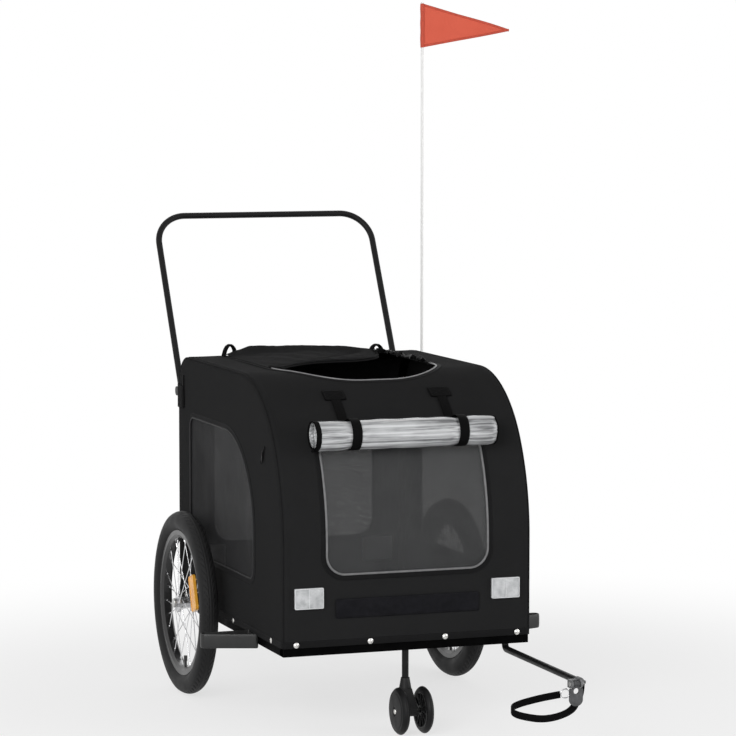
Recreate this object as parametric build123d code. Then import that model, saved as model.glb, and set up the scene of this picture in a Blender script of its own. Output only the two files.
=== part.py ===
"""Pet bike trailer with spoked wheels, a twin front caster, a push handle and a tow arm.

Millimetres, +Z up, the tow arm points to -Y. The model is drawn with the wheel axle at y = 0
and the middle of the cabin at x = 0; write_parts() then moves everything so that the origin is
the bottom centre of the whole trailer, the safety strap apart.
"""

from build123d import *

import os
from math import cos, radians, sin, tan

# ---- driving dimensions -------------------------------------------------------------------
# Cabin: its rear face lies this far behind the wheel axle
CABIN_WIDTH = 543.0
CABIN_LENGTH = 745.0
REAR_OVERHANG = 183.0
ROOF_Z = 728.0
NOSE_LOWER_R = 400.0
NOSE_LOWER_TURN = 30.0
NOSE_UPPER_R = 265.0
REAR_CORNER_R = 70.0
FABRIC = 3.0
HEM_LAP = 7.5
MESH = 1.0

# Base frame, hoops and floor
FRAME_BOTTOM_Z = 170.5
FRAME_TUBE = 25.0
FRAME_WALL = 1.5
MIDDLE_TUBE_BACK = 272.0
HOOP_D = 16.0
CROSS_D = 14.0
NOSE_TUBE_AT = 0.42
ROOF_TUBE_BACK = 34.0
FLOOR = 8.0
FLOOR_LAP = 2.0

# Windows and roof hatch: margins are measured from the cabin's outside
WINDOW_BOTTOM_Z = 302.0
WINDOW_BELOW_ROOF = 130.0
SIDE_WINDOW_FRONT_MARGIN = 191.0
SIDE_WINDOW_REAR_MARGIN = 95.0
SIDE_WINDOW_BIG_R = 200.0
WINDOW_R = 25.0
FRONT_WINDOW_MARGIN = 95.5
FRONT_WINDOW_BOTTOM_Z = 335.0
END_WINDOW_R = 40.0
REAR_WINDOW_MARGIN = 82.5
WINDOW_REACH = 120.0
HATCH_MARGIN = 91.5
HATCH_FRONT_MARGIN = 192.0
HATCH_REAR_MARGIN = 105.0
HATCH_FRONT_R = 150.0
HATCH_REACH = 60.0

# Soft goods that lie on the cabin
COVER_ROLL_R = 33.2
COVER_ROLL_MARGIN = 73.0
COVER_ROLL_BELOW_ROOF = 109.0
STRAP_MARGIN = 154.5
STRAP_WIDTH = 25.0
STRAP = 2.0
TAB_WIDTH = 43.0
TAB_LENGTH = 28.0
TAB_BEHIND_FRONT = 129.0
HATCH_ROLL_R = 10.0
HATCH_ROLL_BACK = 20.0
HATCH_ROLL_END_MARGINS = (20.0, 40.0)
FLAP_LAP = 4.0
FLAP_REACH = 243.0
FLAP_KNEE = (105.0, 138.0)
FLAP_END_MARGIN = 20.0
HATCH_LOOP_R = 13.0
HATCH_LOOP_INSET = 4.0
HATCH_LOOP = 1.6
HATCH_LOOP_WIDTH = 14.0
HOOK_STRIP_MARGIN = 114.5
HOOK_STRIP_Z = 265.0
HOOK_STRIP_HEIGHT = 40.0
HOOK_STRIP = 1.5

# Reflectors and hem snaps
REFLECTOR_MARGIN = 56.5
REFLECTOR_Z = 289.5
REFLECTOR_WIDTH = 62.0
REFLECTOR_HEIGHT = 43.0
REFLECTOR = 6.0
SNAP_R = 4.5
SNAP = 2.5
SNAP_ABOVE_HEM = 6.5
END_SNAP_MARGINS = (29.5, 189.5)
SIDE_SNAPS_BEHIND_FRONT = (74.0, 334.0, 690.0)

# Main wheels
WHEEL_GAP = 19.9
WHEEL_R = 200.0
TYRE_WIDTH = 40.0
TYRE_HEIGHT = 41.5
RIM_WIDTH = 25.0
RIM_WALL = 2.0
RIM_FLANGE = 6.0
RIM_DEPTH = 16.5
HUB_WIDTH = 34.0
HUB_END = 4.0
HUB_FLANGE_R = 21.0
HUB_FLANGE = 3.0
HUB_BARREL_R = 12.0
SPOKE_CIRCLE_R = 17.5
SPOKE_D = 2.0
SPOKE_HOLE_D = 2.8
SPOKES_PER_SIDE = 14
SPOKE_LEAD_HOLES = 2
SPOKE_RIM_SPREAD = 2.5
SPOKE_HEAD_D = 4.0
SPOKE_HEAD = 1.0
SPOKE_LIFT = 1.2
NIPPLE_D = 4.0
NIPPLE_LENGTH = 9.0
NIPPLE_GAP = 0.6
VALVE_R = 3.0
VALVE_CAP_R = 4.0
VALVE_LENGTH = 24.0
WHEEL_REFLECTOR_INSET = 38.0
WHEEL_REFLECTOR_AT = 169.0
WHEEL_REFLECTOR = 5.0
WHEEL_REFLECTOR_R = 6.0
WHEEL_REFLECTOR_LENGTH = 66.0
WHEEL_REFLECTOR_HEIGHT = 24.0
AXLE_R = 6.0
AXLE_CAP_R = 10.0
AXLE_CAP = 6.0
AXLE_BOSS_R = 12.0
BRACKET = 4.0
BRACKET_LENGTH = 50.0
BRACKET_RISE = 18.0

# Caster
CASTER_POST_D = 14.0
CASTER_PIN_R = 4.0
CASTER_PIN_LENGTH = 40.0
CASTER_COLLAR_R = 13.0
CASTER_COLLAR = 23.0
CASTER_HUB_R = 12.0
CASTER_TRAIL = 37.0
CASTER_WHEEL_R = 48.6
CASTER_WHEEL_WIDTH = 15.0
CASTER_WHEEL_GAP = 8.8
CASTER_NECK_WIDTH = 20.0
CASTER_AXLE_R = 4.0
CASTER_DOME = 3.0
CASTER_CAP_R = 7.0
CASTER_COLLAR_OVERLAP = 9.0

# Tow arm and hitch
ARM_MARGIN = 49.5
ARM_D = 14.0
ARM_BELOW_FRAME = 12.5
ARM_LENGTH = 378.0
ARM_BEND_R = 11.0
ARM_BUSH_WALL = 3.0
ARM_COLLAR_LIP = 2.0
ARM_COLLAR = 4.0
COUPLER_D = 18.0
COUPLER_LENGTH = 18.0
COUPLER_CHAMFER = 1.5
COUPLER_EAR = 4.0
COUPLER_EAR_R = 8.0
KEEPER = 8.0
KEEPER_OUT = 12.0
KEEPER_DROP = 6.0
HITCH_PIN_R = 3.0
HITCH_PIN_HEAD = 2.0
HITCH_OFFSET = -12.0
HITCH_DROP = 2.0
HITCH_WIDTH = 28.0
HITCH_HEIGHT = 44.0
HITCH = 5.0
HITCH_BARREL = 14.0
HITCH_BARREL_R = 5.0
HITCH_HOLE_R = 6.0
HITCH_HOLE_DROP = 14.0

# Push handle
HANDLE_MARGIN = 13.5
HANDLE_D = 14.0
HANDLE_OFF_WALL = 17.0
HANDLE_BELOW_ROOF = 83.0
HANDLE_LEAN = 29.0
HANDLE_RISE = 381.0
HANDLE_CORNER_R = 70.0
HANDLE_BOSS_R = 10.0
HANDLE_BOSS_WIDTH = 16.0
HANDLE_PIN_R = 4.0
HANDLE_EAR = 4.0
HANDLE_PLATE = 3.0
HANDLE_PLATE_HEIGHT = 70.0
KNOB_R = 15.0
KNOB_LOBES = 6
KNOB = 13.0

# Flag
FLAG_POLE_D = 6.0
FLAG_OFF_SIDE = 5.0
FLAG_BEHIND_AXLE = 105.0
FLAG_TOP_Z = 1508.0
FLAG_LENGTH = 220.0
FLAG_HEIGHT = 98.0
FLAG_TIP_DROP = 59.0
FLAG = 1.0
FLAG_POLE_TIP = 3.0
FLAG_SOCKET_WALL = 2.0
FLAG_SOCKET_HEIGHT = 60.0
FLAG_SOCKET_FLOOR = 4.0

# Wheel guards
GUARD_BEHIND_FRONT = 165.0
GUARD_REACH = 109.5
GUARD_SWEEP = 40.0
GUARD_DEPTH = 62.0
GUARD_BAND = 4.0
GUARD_HEIGHT = 30.0
GUARD_BELOW_FRAME = 8.5
GUARD_NOSE_R = 11.0
GUARD_FOOT_R = 2.0

# Safety strap: a chosen route from the underside of the coupler's keeper
STRAP_CORD_D = 6.0
STRAP_ROUTE = (
    (0, 0, 0), (0, 0, -17), (-13, -5, -32), (-26, -9, -48), (-44, -13, -56),
    (-72, -18, -61), (-100, -21, -61), (-128, -24, -55), (-148, -18, -50), (-155, -3, -45),
    (-147, 14, -41), (-124, 26, -37), (-92, 33, -33), (-68, 32, -29), (-37, 29, -25),
)
RING_R = 9.0
RING_WIRE = 1.5

# Clearances
RUN = 0.05
SEAT = 0.3
SIDE_GAP = 1.0
CORD_NODES = ("safety_strap", "strap_ring")

# ---- derived sizes ------------------------------------------------------------------------
HALF = CABIN_WIDTH / 2
CABIN_REAR_Y = REAR_OVERHANG
CABIN_FRONT_Y = REAR_OVERHANG - CABIN_LENGTH
FRAME_HALF = HALF - FABRIC
FRAME_FRONT = CABIN_FRONT_Y + FABRIC
FRAME_REAR = CABIN_REAR_Y - FABRIC
FRAME_TOP = FRAME_BOTTOM_Z + FRAME_TUBE
HEM_Z = FRAME_TOP - HEM_LAP
SNAP_Z = HEM_Z + SNAP_ABOVE_HEM
WINDOW_TOP_Z = ROOF_Z - WINDOW_BELOW_ROOF
SIDE_WINDOW_FRONT_Y = CABIN_FRONT_Y + SIDE_WINDOW_FRONT_MARGIN
SIDE_WINDOW_REAR_Y = CABIN_REAR_Y - SIDE_WINDOW_REAR_MARGIN
HATCH_HALF = HALF - HATCH_MARGIN
HATCH_FRONT_Y = CABIN_FRONT_Y + HATCH_FRONT_MARGIN
HATCH_REAR_Y = CABIN_REAR_Y - HATCH_REAR_MARGIN
HOOP_INSET = FABRIC + SEAT + HOOP_D / 2
HOOP_X = FRAME_HALF - FRAME_TUBE / 2
FRONT_TUBE_Y = FRAME_FRONT + FRAME_TUBE / 2
HATCH_ROLL_Y = HATCH_REAR_Y + HATCH_ROLL_BACK
HATCH_ROLL_Z = ROOF_Z + HATCH_ROLL_R + SEAT
TAB_FRONT_Y = CABIN_FRONT_Y + TAB_BEHIND_FRONT
WHEEL_X = HALF + WHEEL_GAP + TYRE_WIDTH / 2
RIM_R = WHEEL_R - TYRE_HEIGHT
RIM_SEAT_R = RIM_R - RIM_FLANGE
RIM_INNER_R = RIM_R - RIM_DEPTH
ARM_X = HALF - ARM_MARGIN
ARM_Z = FRAME_BOTTOM_Z - ARM_BELOW_FRAME
ARM_END_Y = FRONT_TUBE_Y - ARM_LENGTH
HITCH_X = ARM_X + HITCH_OFFSET
HITCH_PIN_Y = ARM_END_Y - COUPLER_LENGTH - HITCH_BARREL_R - SIDE_GAP
HITCH_PIN_Z = ARM_Z - HITCH_DROP
HANDLE_HALF = HALF - HANDLE_MARGIN
HANDLE_PIVOT_Y = CABIN_REAR_Y + HANDLE_OFF_WALL
HANDLE_PIVOT_Z = ROOF_Z - HANDLE_BELOW_ROOF
CASTER_COLLAR_Z = 2 * CASTER_WHEEL_R - CASTER_COLLAR_OVERLAP
CASTER_POST_END_Z = CASTER_COLLAR_Z + CASTER_COLLAR + SIDE_GAP
FLAG_X = HALF + FLAG_OFF_SIDE + FLAG_POLE_D / 2
GUARD_Z = FRAME_BOTTOM_Z - GUARD_BELOW_FRAME
SIDES = {"left": 1, "right": -1}


def cabin_outline(inset, bottom):
    """Side outline of the cabin as a face in the YZ plane, moved inwards by inset."""
    lower_r, upper_r = NOSE_LOWER_R - inset, NOSE_UPPER_R - inset
    corner_r = REAR_CORNER_R - inset
    step = NOSE_LOWER_R - NOSE_UPPER_R
    bend_z = ROOF_Z - NOSE_UPPER_R - step * sin(radians(NOSE_LOWER_TURN))
    front = Line((CABIN_FRONT_Y + inset, bottom), (CABIN_FRONT_Y + inset, bend_z))
    lower = JernArc(front @ 1, front % 1, lower_r, -NOSE_LOWER_TURN)
    upper = JernArc(lower @ 1, lower % 1, upper_r, NOSE_LOWER_TURN - 90)
    roof = Line(upper @ 1, (CABIN_REAR_Y - REAR_CORNER_R, ROOF_Z - inset))
    corner = JernArc(roof @ 1, roof % 1, corner_r, -90)
    rear = Line(corner @ 1, (CABIN_REAR_Y - inset, bottom))
    return front, lower, upper, roof, corner, rear


def cabin_block(inset, half_width, bottom=HEM_Z):
    """The cabin's side outline as a solid block, between -half_width and +half_width."""
    edges = cabin_outline(inset, bottom)
    edges = Curve() + [*edges, Line(edges[-1] @ 1, edges[0] @ 0)]
    return extrude(Plane.YZ * make_face(edges), half_width, both=True)


def box_between(low, high):
    """A box from its lowest to its highest corner."""
    size = [b - a for a, b in zip(low, high)]
    return Pos(*low) * Box(*size, align=(Align.MIN, Align.MIN, Align.MIN))


def rod(start, end, radius):
    """A round rod between two points."""
    start, end = Vector(*start), Vector(*end)
    plane = Plane(origin=start, z_dir=end - start)
    return extrude(plane * Circle(radius), (end - start).length)


def window_face(low, high, radii):
    """Window outline as a face: radii run from the low corner, counter-clockwise."""
    corners = (low, (high[0], low[1]), high, (low[0], high[1]))
    return make_face(FilletPolyline(*corners, radius=list(radii), close=True))


def tube_path(points, radii):
    """Straight runs joined by tangent arcs through the given points."""
    return FilletPolyline(*points, radius=list(radii))


def wire(points, diameter):
    """A thin bar with six flats through the given points, mitred at its corners."""
    path = Polyline(*points)
    section = Plane(origin=points[0], z_dir=path % 0) * RegularPolygon(diameter / 2, 6)
    return sweep(section, path=path, transition=Transition.RIGHT)


def sweep_round(path, diameter):
    """A round bar or tube outside along a path."""
    return sweep(Plane(origin=path @ 0, z_dir=path % 0) * Circle(diameter / 2), path=path)


# ---- base frame, hoops and floor ----------------------------------------------------------
def square_tube(low, high):
    """A hollow square tube along its longest side, open at both ends."""
    outer = box_between(low, high)
    size = [b - a for a, b in zip(low, high)]
    along = size.index(max(size))
    inner_low = [a if i == along else a + FRAME_WALL for i, a in enumerate(low)]
    inner_high = [b if i == along else b - FRAME_WALL for i, b in enumerate(high)]
    return outer - box_between(inner_low, inner_high)


def base_frame():
    """Front and rear tubes across, side rails between them, and a cross tube at the axle."""
    inner = FRAME_HALF - FRAME_TUBE
    front_in, rear_in = FRAME_FRONT + FRAME_TUBE, FRAME_REAR - FRAME_TUBE
    z = (FRAME_BOTTOM_Z, FRAME_TOP)
    half, middle = FRAME_TUBE / 2, CABIN_FRONT_Y + MIDDLE_TUBE_BACK
    front_tube = square_tube((-FRAME_HALF, FRAME_FRONT, z[0]), (FRAME_HALF, front_in, z[1]))
    low, high = (ARM_X, FRONT_TUBE_Y, z[0]), (ARM_X, FRONT_TUBE_Y, z[1])
    front_tube += rod(low, high, ARM_D / 2 + ARM_BUSH_WALL)
    front_tube -= rod(low, high, ARM_D / 2 + RUN)
    return {
        "frame_front_tube": front_tube,
        "frame_rear_tube": square_tube((-FRAME_HALF, rear_in, z[0]), (FRAME_HALF, FRAME_REAR, z[1])),
        "frame_left_rail": square_tube((inner, front_in, z[0]), (FRAME_HALF, rear_in, z[1])),
        "frame_right_rail": square_tube((-FRAME_HALF, front_in, z[0]), (-inner, rear_in, z[1])),
        "axle_cross_tube": square_tube((-inner, -half, z[0]), (inner, half, z[1])),
        "middle_cross_tube": square_tube(
            (-inner, middle - half, z[0]), (inner, middle + half, z[1])
        ),
    }


def floor_panel():
    """Padded floor that rests on the rails and cross tubes, inside the hoops."""
    half_x = FRAME_HALF - FRAME_TUBE + FLOOR_LAP
    front = FRAME_FRONT + FRAME_TUBE - FLOOR_LAP
    rear = FRAME_REAR - FRAME_TUBE + FLOOR_LAP
    return box_between((-half_x, front, FRAME_TOP), (half_x, rear, FRAME_TOP + FLOOR))


def hoop(x):
    """Round tube that stands on the front and rear tubes and follows the cabin's outline."""
    path = Wire(list(cabin_outline(HOOP_INSET, FRAME_TOP)))
    path = Pos(x, 0, 0) * (Plane.YZ * path)
    return sweep_round(path, HOOP_D)


def roof_cross_tubes():
    """Two tubes between the hoops: one in front of the hatch, one behind it."""
    arc = cabin_outline(HOOP_INSET, FRAME_TOP)[2]
    front = arc @ NOSE_TUBE_AT
    half = HOOP_X - HOOP_D / 2 - SEAT
    tubes = []
    for y, z in ((front.X, front.Y), (HATCH_REAR_Y + ROOF_TUBE_BACK, ROOF_Z - HOOP_INSET)):
        tubes.append(rod((-half, y, z), (half, y, z), CROSS_D / 2))
    return tubes


# ---- cabin cover --------------------------------------------------------------------------
def side_window():
    """Side window outline in the YZ plane, with the large front top corner."""
    low = (SIDE_WINDOW_FRONT_Y, WINDOW_BOTTOM_Z)
    high = (SIDE_WINDOW_REAR_Y, WINDOW_TOP_Z)
    radii = (WINDOW_R, WINDOW_R, WINDOW_R, SIDE_WINDOW_BIG_R)
    return Plane.YZ * window_face(low, high, radii)


def end_window(margin, bottom, y):
    """Front or rear window as a prism along Y, long enough to pass through the sheet."""
    half = HALF - margin
    radii = (END_WINDOW_R, END_WINDOW_R, WINDOW_R, WINDOW_R)
    face = window_face((-half, bottom), (half, WINDOW_TOP_Z), radii)
    return extrude(Plane.XZ.offset(-y) * face, WINDOW_REACH, both=True)


def hatch_prism():
    """Roof hatch as a prism: a rounded D in plan."""
    low, high = (-HATCH_HALF, HATCH_FRONT_Y), (HATCH_HALF, HATCH_REAR_Y)
    radii = (HATCH_FRONT_R, HATCH_FRONT_R, WINDOW_R, WINDOW_R)
    return extrude(Plane.XY.offset(ROOF_Z) * window_face(low, high, radii), HATCH_REACH, both=True)


def cover_sheet(outer, inner):
    """The sheet round the cabin between two insets, between the side panels, open below."""
    return cabin_block(outer, FRAME_HALF) - cabin_block(inner, FRAME_HALF + FABRIC)


def cover():
    """The cover's panels and the mesh set in their windows."""
    sheet = cover_sheet(0, FABRIC)
    mesh_low = (FABRIC - MESH) / 2
    mesh = cover_sheet(mesh_low, mesh_low + MESH)
    split_y = CABIN_REAR_Y - REAR_CORNER_R
    reach = 3 * ROOF_Z
    behind = box_between((-reach, split_y, -reach), (reach, reach, reach))
    front_window = end_window(FRONT_WINDOW_MARGIN, FRONT_WINDOW_BOTTOM_Z, CABIN_FRONT_Y)
    rear_window = end_window(REAR_WINDOW_MARGIN, WINDOW_BOTTOM_Z, CABIN_REAR_Y)
    pieces = {
        "front_roof_panel": sheet - behind - front_window - hatch_prism(),
        "rear_panel": (sheet & behind) - rear_window,
        "front_window_mesh": mesh & front_window,
        "rear_window_mesh": mesh & rear_window,
    }
    panel = cabin_block(0, HALF) - extrude(side_window(), HALF, both=True)
    window = extrude(side_window(), FRAME_HALF + mesh_low + MESH, both=True)
    window -= extrude(side_window(), FRAME_HALF + mesh_low, both=True)
    for side, sign in SIDES.items():
        slab = box_between((FRAME_HALF, -reach, -reach), (reach, reach, reach))
        slab = slab if sign > 0 else mirror(slab, Plane.YZ)
        pieces[f"{side}_side_panel"] = panel & slab
        pieces[f"{side}_window_mesh"] = window & slab
    return pieces


# ---- soft goods on the cover --------------------------------------------------------------
def cover_roll_centre():
    """Centre of the rolled rain cover, which lies on the nose, and the height where it touches."""
    arc_z = ROOF_Z - NOSE_UPPER_R
    reach = NOSE_UPPER_R + COVER_ROLL_R + STRAP + 2 * SEAT
    step = (NOSE_LOWER_R - NOSE_UPPER_R) * cos(radians(NOSE_LOWER_TURN))
    arc_y = CABIN_FRONT_Y + NOSE_LOWER_R - step
    rise = NOSE_UPPER_R - COVER_ROLL_BELOW_ROOF
    return arc_y - (reach**2 - rise**2) ** 0.5, arc_z + rise, arc_z + rise * NOSE_UPPER_R / reach


def rain_cover_straps():
    """Two straps: a tab on the nose, a band down to the roll, and a band round the roll."""
    y, z, touch_z = cover_roll_centre()
    straps = []
    skin = cabin_block(-STRAP, FRAME_HALF) - cabin_block(0, FRAME_HALF + FABRIC)
    tab_rear = TAB_FRONT_Y + TAB_LENGTH
    half_tab, half = TAB_WIDTH / 2, STRAP_WIDTH / 2
    for x in (STRAP_MARGIN - HALF, HALF - STRAP_MARGIN):
        tab = skin & box_between((x - half_tab, TAB_FRONT_Y, z), (x + half_tab, tab_rear, 2 * z))
        run = skin & box_between((x - half, y, touch_z), (x + half, TAB_FRONT_Y, 2 * z))
        plane = Plane(origin=(x - half, y, z), z_dir=(1, 0, 0))
        ring = plane * (Circle(COVER_ROLL_R + SEAT + STRAP) - Circle(COVER_ROLL_R + SEAT))
        straps.append(tab + run + extrude(ring, STRAP_WIDTH))
    return straps


def hatch_flap():
    """The hatch flap, open at the front and right: a fold along the rear edge and the cloth before it."""
    left, right = (sign * (HATCH_HALF - margin) for sign, margin in zip((-1, 1), HATCH_ROLL_END_MARGINS))
    fold = rod((left, HATCH_ROLL_Y, HATCH_ROLL_Z), (right, HATCH_ROLL_Y, HATCH_ROLL_Z), HATCH_ROLL_R)
    side, end = -HATCH_HALF - FLAP_LAP, HATCH_HALF - FLAP_END_MARGIN
    knee = (HATCH_HALF - FLAP_KNEE[0], HATCH_REAR_Y - FLAP_KNEE[1])
    rear = HATCH_REAR_Y + HATCH_ROLL_BACK / 2
    outline = Polyline(
        (side, rear), (side, HATCH_REAR_Y - FLAP_REACH), knee, (end, HATCH_REAR_Y), (end, rear),
        (right, rear), (right, HATCH_ROLL_Y), (left, HATCH_ROLL_Y), (left, rear), close=True,
    )
    return fold + extrude(Plane.XY.offset(ROOF_Z + SEAT) * make_face(outline), FABRIC)


def hatch_loops():
    """Two strap loops that stand on the roof behind the hatch, one at each end of the fold."""
    loops = []
    for x in (HATCH_LOOP_INSET - HATCH_HALF, HATCH_HALF - HATCH_LOOP_INSET):
        start = (x, HATCH_ROLL_Y - HATCH_LOOP_WIDTH / 2, ROOF_Z + SEAT + HATCH_LOOP_R)
        ring = Circle(HATCH_LOOP_R) - Circle(HATCH_LOOP_R - HATCH_LOOP)
        loops.append(extrude(Plane(origin=start, z_dir=(0, 1, 0)) * ring, HATCH_LOOP_WIDTH))
    return loops


def soft_goods():
    """Rolled rain cover and its straps, hatch flap and its loops, and the strip on the front."""
    y, z, _ = cover_roll_centre()
    strip_half, strip_low = HALF - HOOK_STRIP_MARGIN, HOOK_STRIP_Z - HOOK_STRIP_HEIGHT / 2
    roll_half = HALF - COVER_ROLL_MARGIN
    return {
        "rain_cover_roll": rod((-roll_half, y, z), (roll_half, y, z), COVER_ROLL_R),
        "rain_cover_straps": rain_cover_straps(),
        "hatch_flap_roll": hatch_flap(),
        "hatch_flap_loops": hatch_loops(),
        "hook_strip": box_between(
            (-strip_half, CABIN_FRONT_Y - HOOK_STRIP, strip_low),
            (strip_half, CABIN_FRONT_Y, strip_low + HOOK_STRIP_HEIGHT),
        ),
    }


# ---- reflectors and snaps -----------------------------------------------------------------
def reflector(x, y, out):
    """One rectangular reflector on an end wall; out is -1 at the front and 1 at the rear."""
    body = Box(REFLECTOR_WIDTH, REFLECTOR, REFLECTOR_HEIGHT)
    face = body.faces().sort_by(Axis.Y)[0 if out < 0 else -1]
    body = chamfer(face.edges(), REFLECTOR / 3)
    return Pos(x, y + out * REFLECTOR / 2, REFLECTOR_Z) * body


def reflectors():
    """A pair at the front and a pair at the rear."""
    places = (REFLECTOR_MARGIN - HALF, HALF - REFLECTOR_MARGIN)
    return {
        "front_reflectors": [reflector(x, CABIN_FRONT_Y, -1) for x in places],
        "rear_reflectors": [reflector(x, CABIN_REAR_Y, 1) for x in places],
    }


def hem_snaps():
    """Press studs that hold the hem to the base frame."""
    snaps = []
    for sign in (-1, 1):
        for margin in END_SNAP_MARGINS:
            x = sign * (HALF - margin)
            snaps.append(rod((x, CABIN_FRONT_Y, SNAP_Z), (x, CABIN_FRONT_Y - SNAP, SNAP_Z), SNAP_R))
            snaps.append(rod((x, CABIN_REAR_Y, SNAP_Z), (x, CABIN_REAR_Y + SNAP, SNAP_Z), SNAP_R))
        for back in SIDE_SNAPS_BEHIND_FRONT:
            y = CABIN_FRONT_Y + back
            snaps.append(rod((sign * HALF, y, SNAP_Z), (sign * (HALF + SNAP), y, SNAP_Z), SNAP_R))
    return snaps


# ---- main wheels --------------------------------------------------------------------------
def revolved(points_face, x=0.0):
    """Turn a face drawn with x along the axle and y outwards about the X axis."""
    return Pos(x, 0, 0) * revolve(points_face, Axis.X)


def tyre():
    """Tyre section: beads in the rim, bulging sidewalls and a round crown."""
    bead, bulge_r = RIM_WIDTH / 2 - RIM_WALL, RIM_R + (WHEEL_R - RIM_R) * 0.45
    half = TYRE_WIDTH / 2
    left = ThreePointArc((-bead, RIM_R), (-half, bulge_r), (-half * 0.62, WHEEL_R - 6))
    crown = ThreePointArc(left @ 1, (0, WHEEL_R), (half * 0.62, WHEEL_R - 6))
    right = ThreePointArc(crown @ 1, (half, bulge_r), (bead, RIM_R))
    base = Polyline((bead, RIM_R), (bead, RIM_SEAT_R), (-bead, RIM_SEAT_R), (-bead, RIM_R))
    return revolved(make_face([left, crown, right, base]))


def rim():
    """Rim with two flanges, a bead seat and a well for the nipples, and the tyre's valve."""
    half = RIM_WIDTH / 2
    well = half * 0.6
    outer = Polyline(
        (-half, RIM_R), (-half, RIM_SEAT_R - 2 * RIM_WALL), (-well, RIM_INNER_R),
        (well, RIM_INNER_R), (half, RIM_SEAT_R - 2 * RIM_WALL), (half, RIM_R),
        (half - RIM_WALL, RIM_R), (half - RIM_WALL, RIM_SEAT_R), (RIM_WALL - half, RIM_SEAT_R),
        (RIM_WALL - half, RIM_R), close=True,
    )
    tip = VALVE_LENGTH - RIM_INNER_R
    valve = rod((0, 0, -RIM_SEAT_R), (0, 0, tip), VALVE_R)
    valve += rod((0, 0, tip - VALVE_LENGTH / 2), (0, 0, tip), VALVE_CAP_R)
    return revolved(make_face(outer)) + valve


def hub():
    """Hub shell with two spoke flanges, each drilled for its spokes, turned on the axle."""
    half, barrel = HUB_WIDTH / 2, HUB_BARREL_R
    profile = Polyline(
        (-half - HUB_END, AXLE_R + RUN), (-half - HUB_END, barrel * 0.8), (-half, barrel * 0.8),
        (-half, HUB_FLANGE_R), (HUB_FLANGE - half, HUB_FLANGE_R), (HUB_FLANGE - half, barrel),
        (half - HUB_FLANGE, barrel), (half - HUB_FLANGE, HUB_FLANGE_R), (half, HUB_FLANGE_R),
        (half, barrel * 0.8), (half + HUB_END, barrel * 0.8), (half + HUB_END, AXLE_R + RUN), close=True,
    )
    holes = []
    for side in (-1, 1):
        start, end = side * (half - 2 * HUB_FLANGE), side * (half + HUB_FLANGE)
        hole = wire(((start, SPOKE_CIRCLE_R, 0), (end, SPOKE_CIRCLE_R, 0)), SPOKE_HOLE_D)
        holes += [Rot(spoke_angle(side, i), 0, 0) * hole for i in range(SPOKES_PER_SIDE)]
    return revolved(make_face(profile)) - holes


def spoke_angle(side, i):
    """Angle of the i-th spoke hole of one flange; the two flanges stand half a hole apart."""
    return 360 / SPOKES_PER_SIDE * (i + side / 4)


def spokes():
    """Laced spokes: every second one of a flange has its elbow outside and leads the other way."""
    pieces = []
    for side in (-1, 1):
        for first, out in ((0, -1), (1, 1)):
            piece = spoke(side, out)
            holes = range(first, SPOKES_PER_SIDE, 2)
            pieces += [Rot(spoke_angle(side, i), 0, 0) * piece for i in holes]
    return pieces


def spoke(side, out):
    """One spoke: a head on the flange, an elbow past its hole, and a nipple at the rim.

    The elbow stands beside the flange's outer face where out is 1, and its inner face otherwise.
    """
    inner, outer = HUB_WIDTH / 2 - HUB_FLANGE, HUB_WIDTH / 2
    behind, beside = (inner, outer) if out > 0 else (outer, inner)
    head_x, elbow_x = behind - out * RUN, beside + out * (SPOKE_D / 2 + SPOKE_LIFT)
    head = (side * head_x, SPOKE_CIRCLE_R, 0)
    head_end = (side * (head_x - out * SPOKE_HEAD), SPOKE_CIRCLE_R, 0)
    elbow = (side * elbow_x, SPOKE_CIRCLE_R, 0)
    lead = -out * SPOKE_LEAD_HOLES * 360 / SPOKES_PER_SIDE
    end = Vector(side * SPOKE_RIM_SPREAD, *polar(RIM_INNER_R - NIPPLE_GAP, lead))
    nipple = end - (end - Vector(*elbow)).normalized() * NIPPLE_LENGTH
    bent = wire((head, elbow, end), SPOKE_D)
    return bent + wire((head, head_end), SPOKE_HEAD_D) + wire((nipple, end), NIPPLE_D)


def polar(radius, degrees):
    """A point's two coordinates from its radius and angle."""
    return radius * cos(radians(degrees)), radius * sin(radians(degrees))


def wheel_reflector():
    """Reflector clipped between the two rows of spokes, on the front half of the wheel."""
    y, z = polar(RIM_INNER_R - WHEEL_REFLECTOR_INSET, WHEEL_REFLECTOR_AT)
    body = Box(WHEEL_REFLECTOR, WHEEL_REFLECTOR_HEIGHT, WHEEL_REFLECTOR_LENGTH)
    body = fillet(body.edges().filter_by(Axis.X), WHEEL_REFLECTOR_R)
    return Pos(0, y, z) * Rot(WHEEL_REFLECTOR_AT - 180, 0, 0) * body


def wheel_pieces(side):
    """The pieces of one main wheel, moved to its place."""
    sign = SIDES[side]
    place = Pos(sign * WHEEL_X, 0, WHEEL_R)
    pieces = {
        "tyre": tyre(), "rim": rim(), "hub": hub(), "spokes": spokes(), "wheel_reflector": wheel_reflector(),
    }
    return {f"{side}_{name}": moved(piece, place) for name, piece in pieces.items()}


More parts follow.
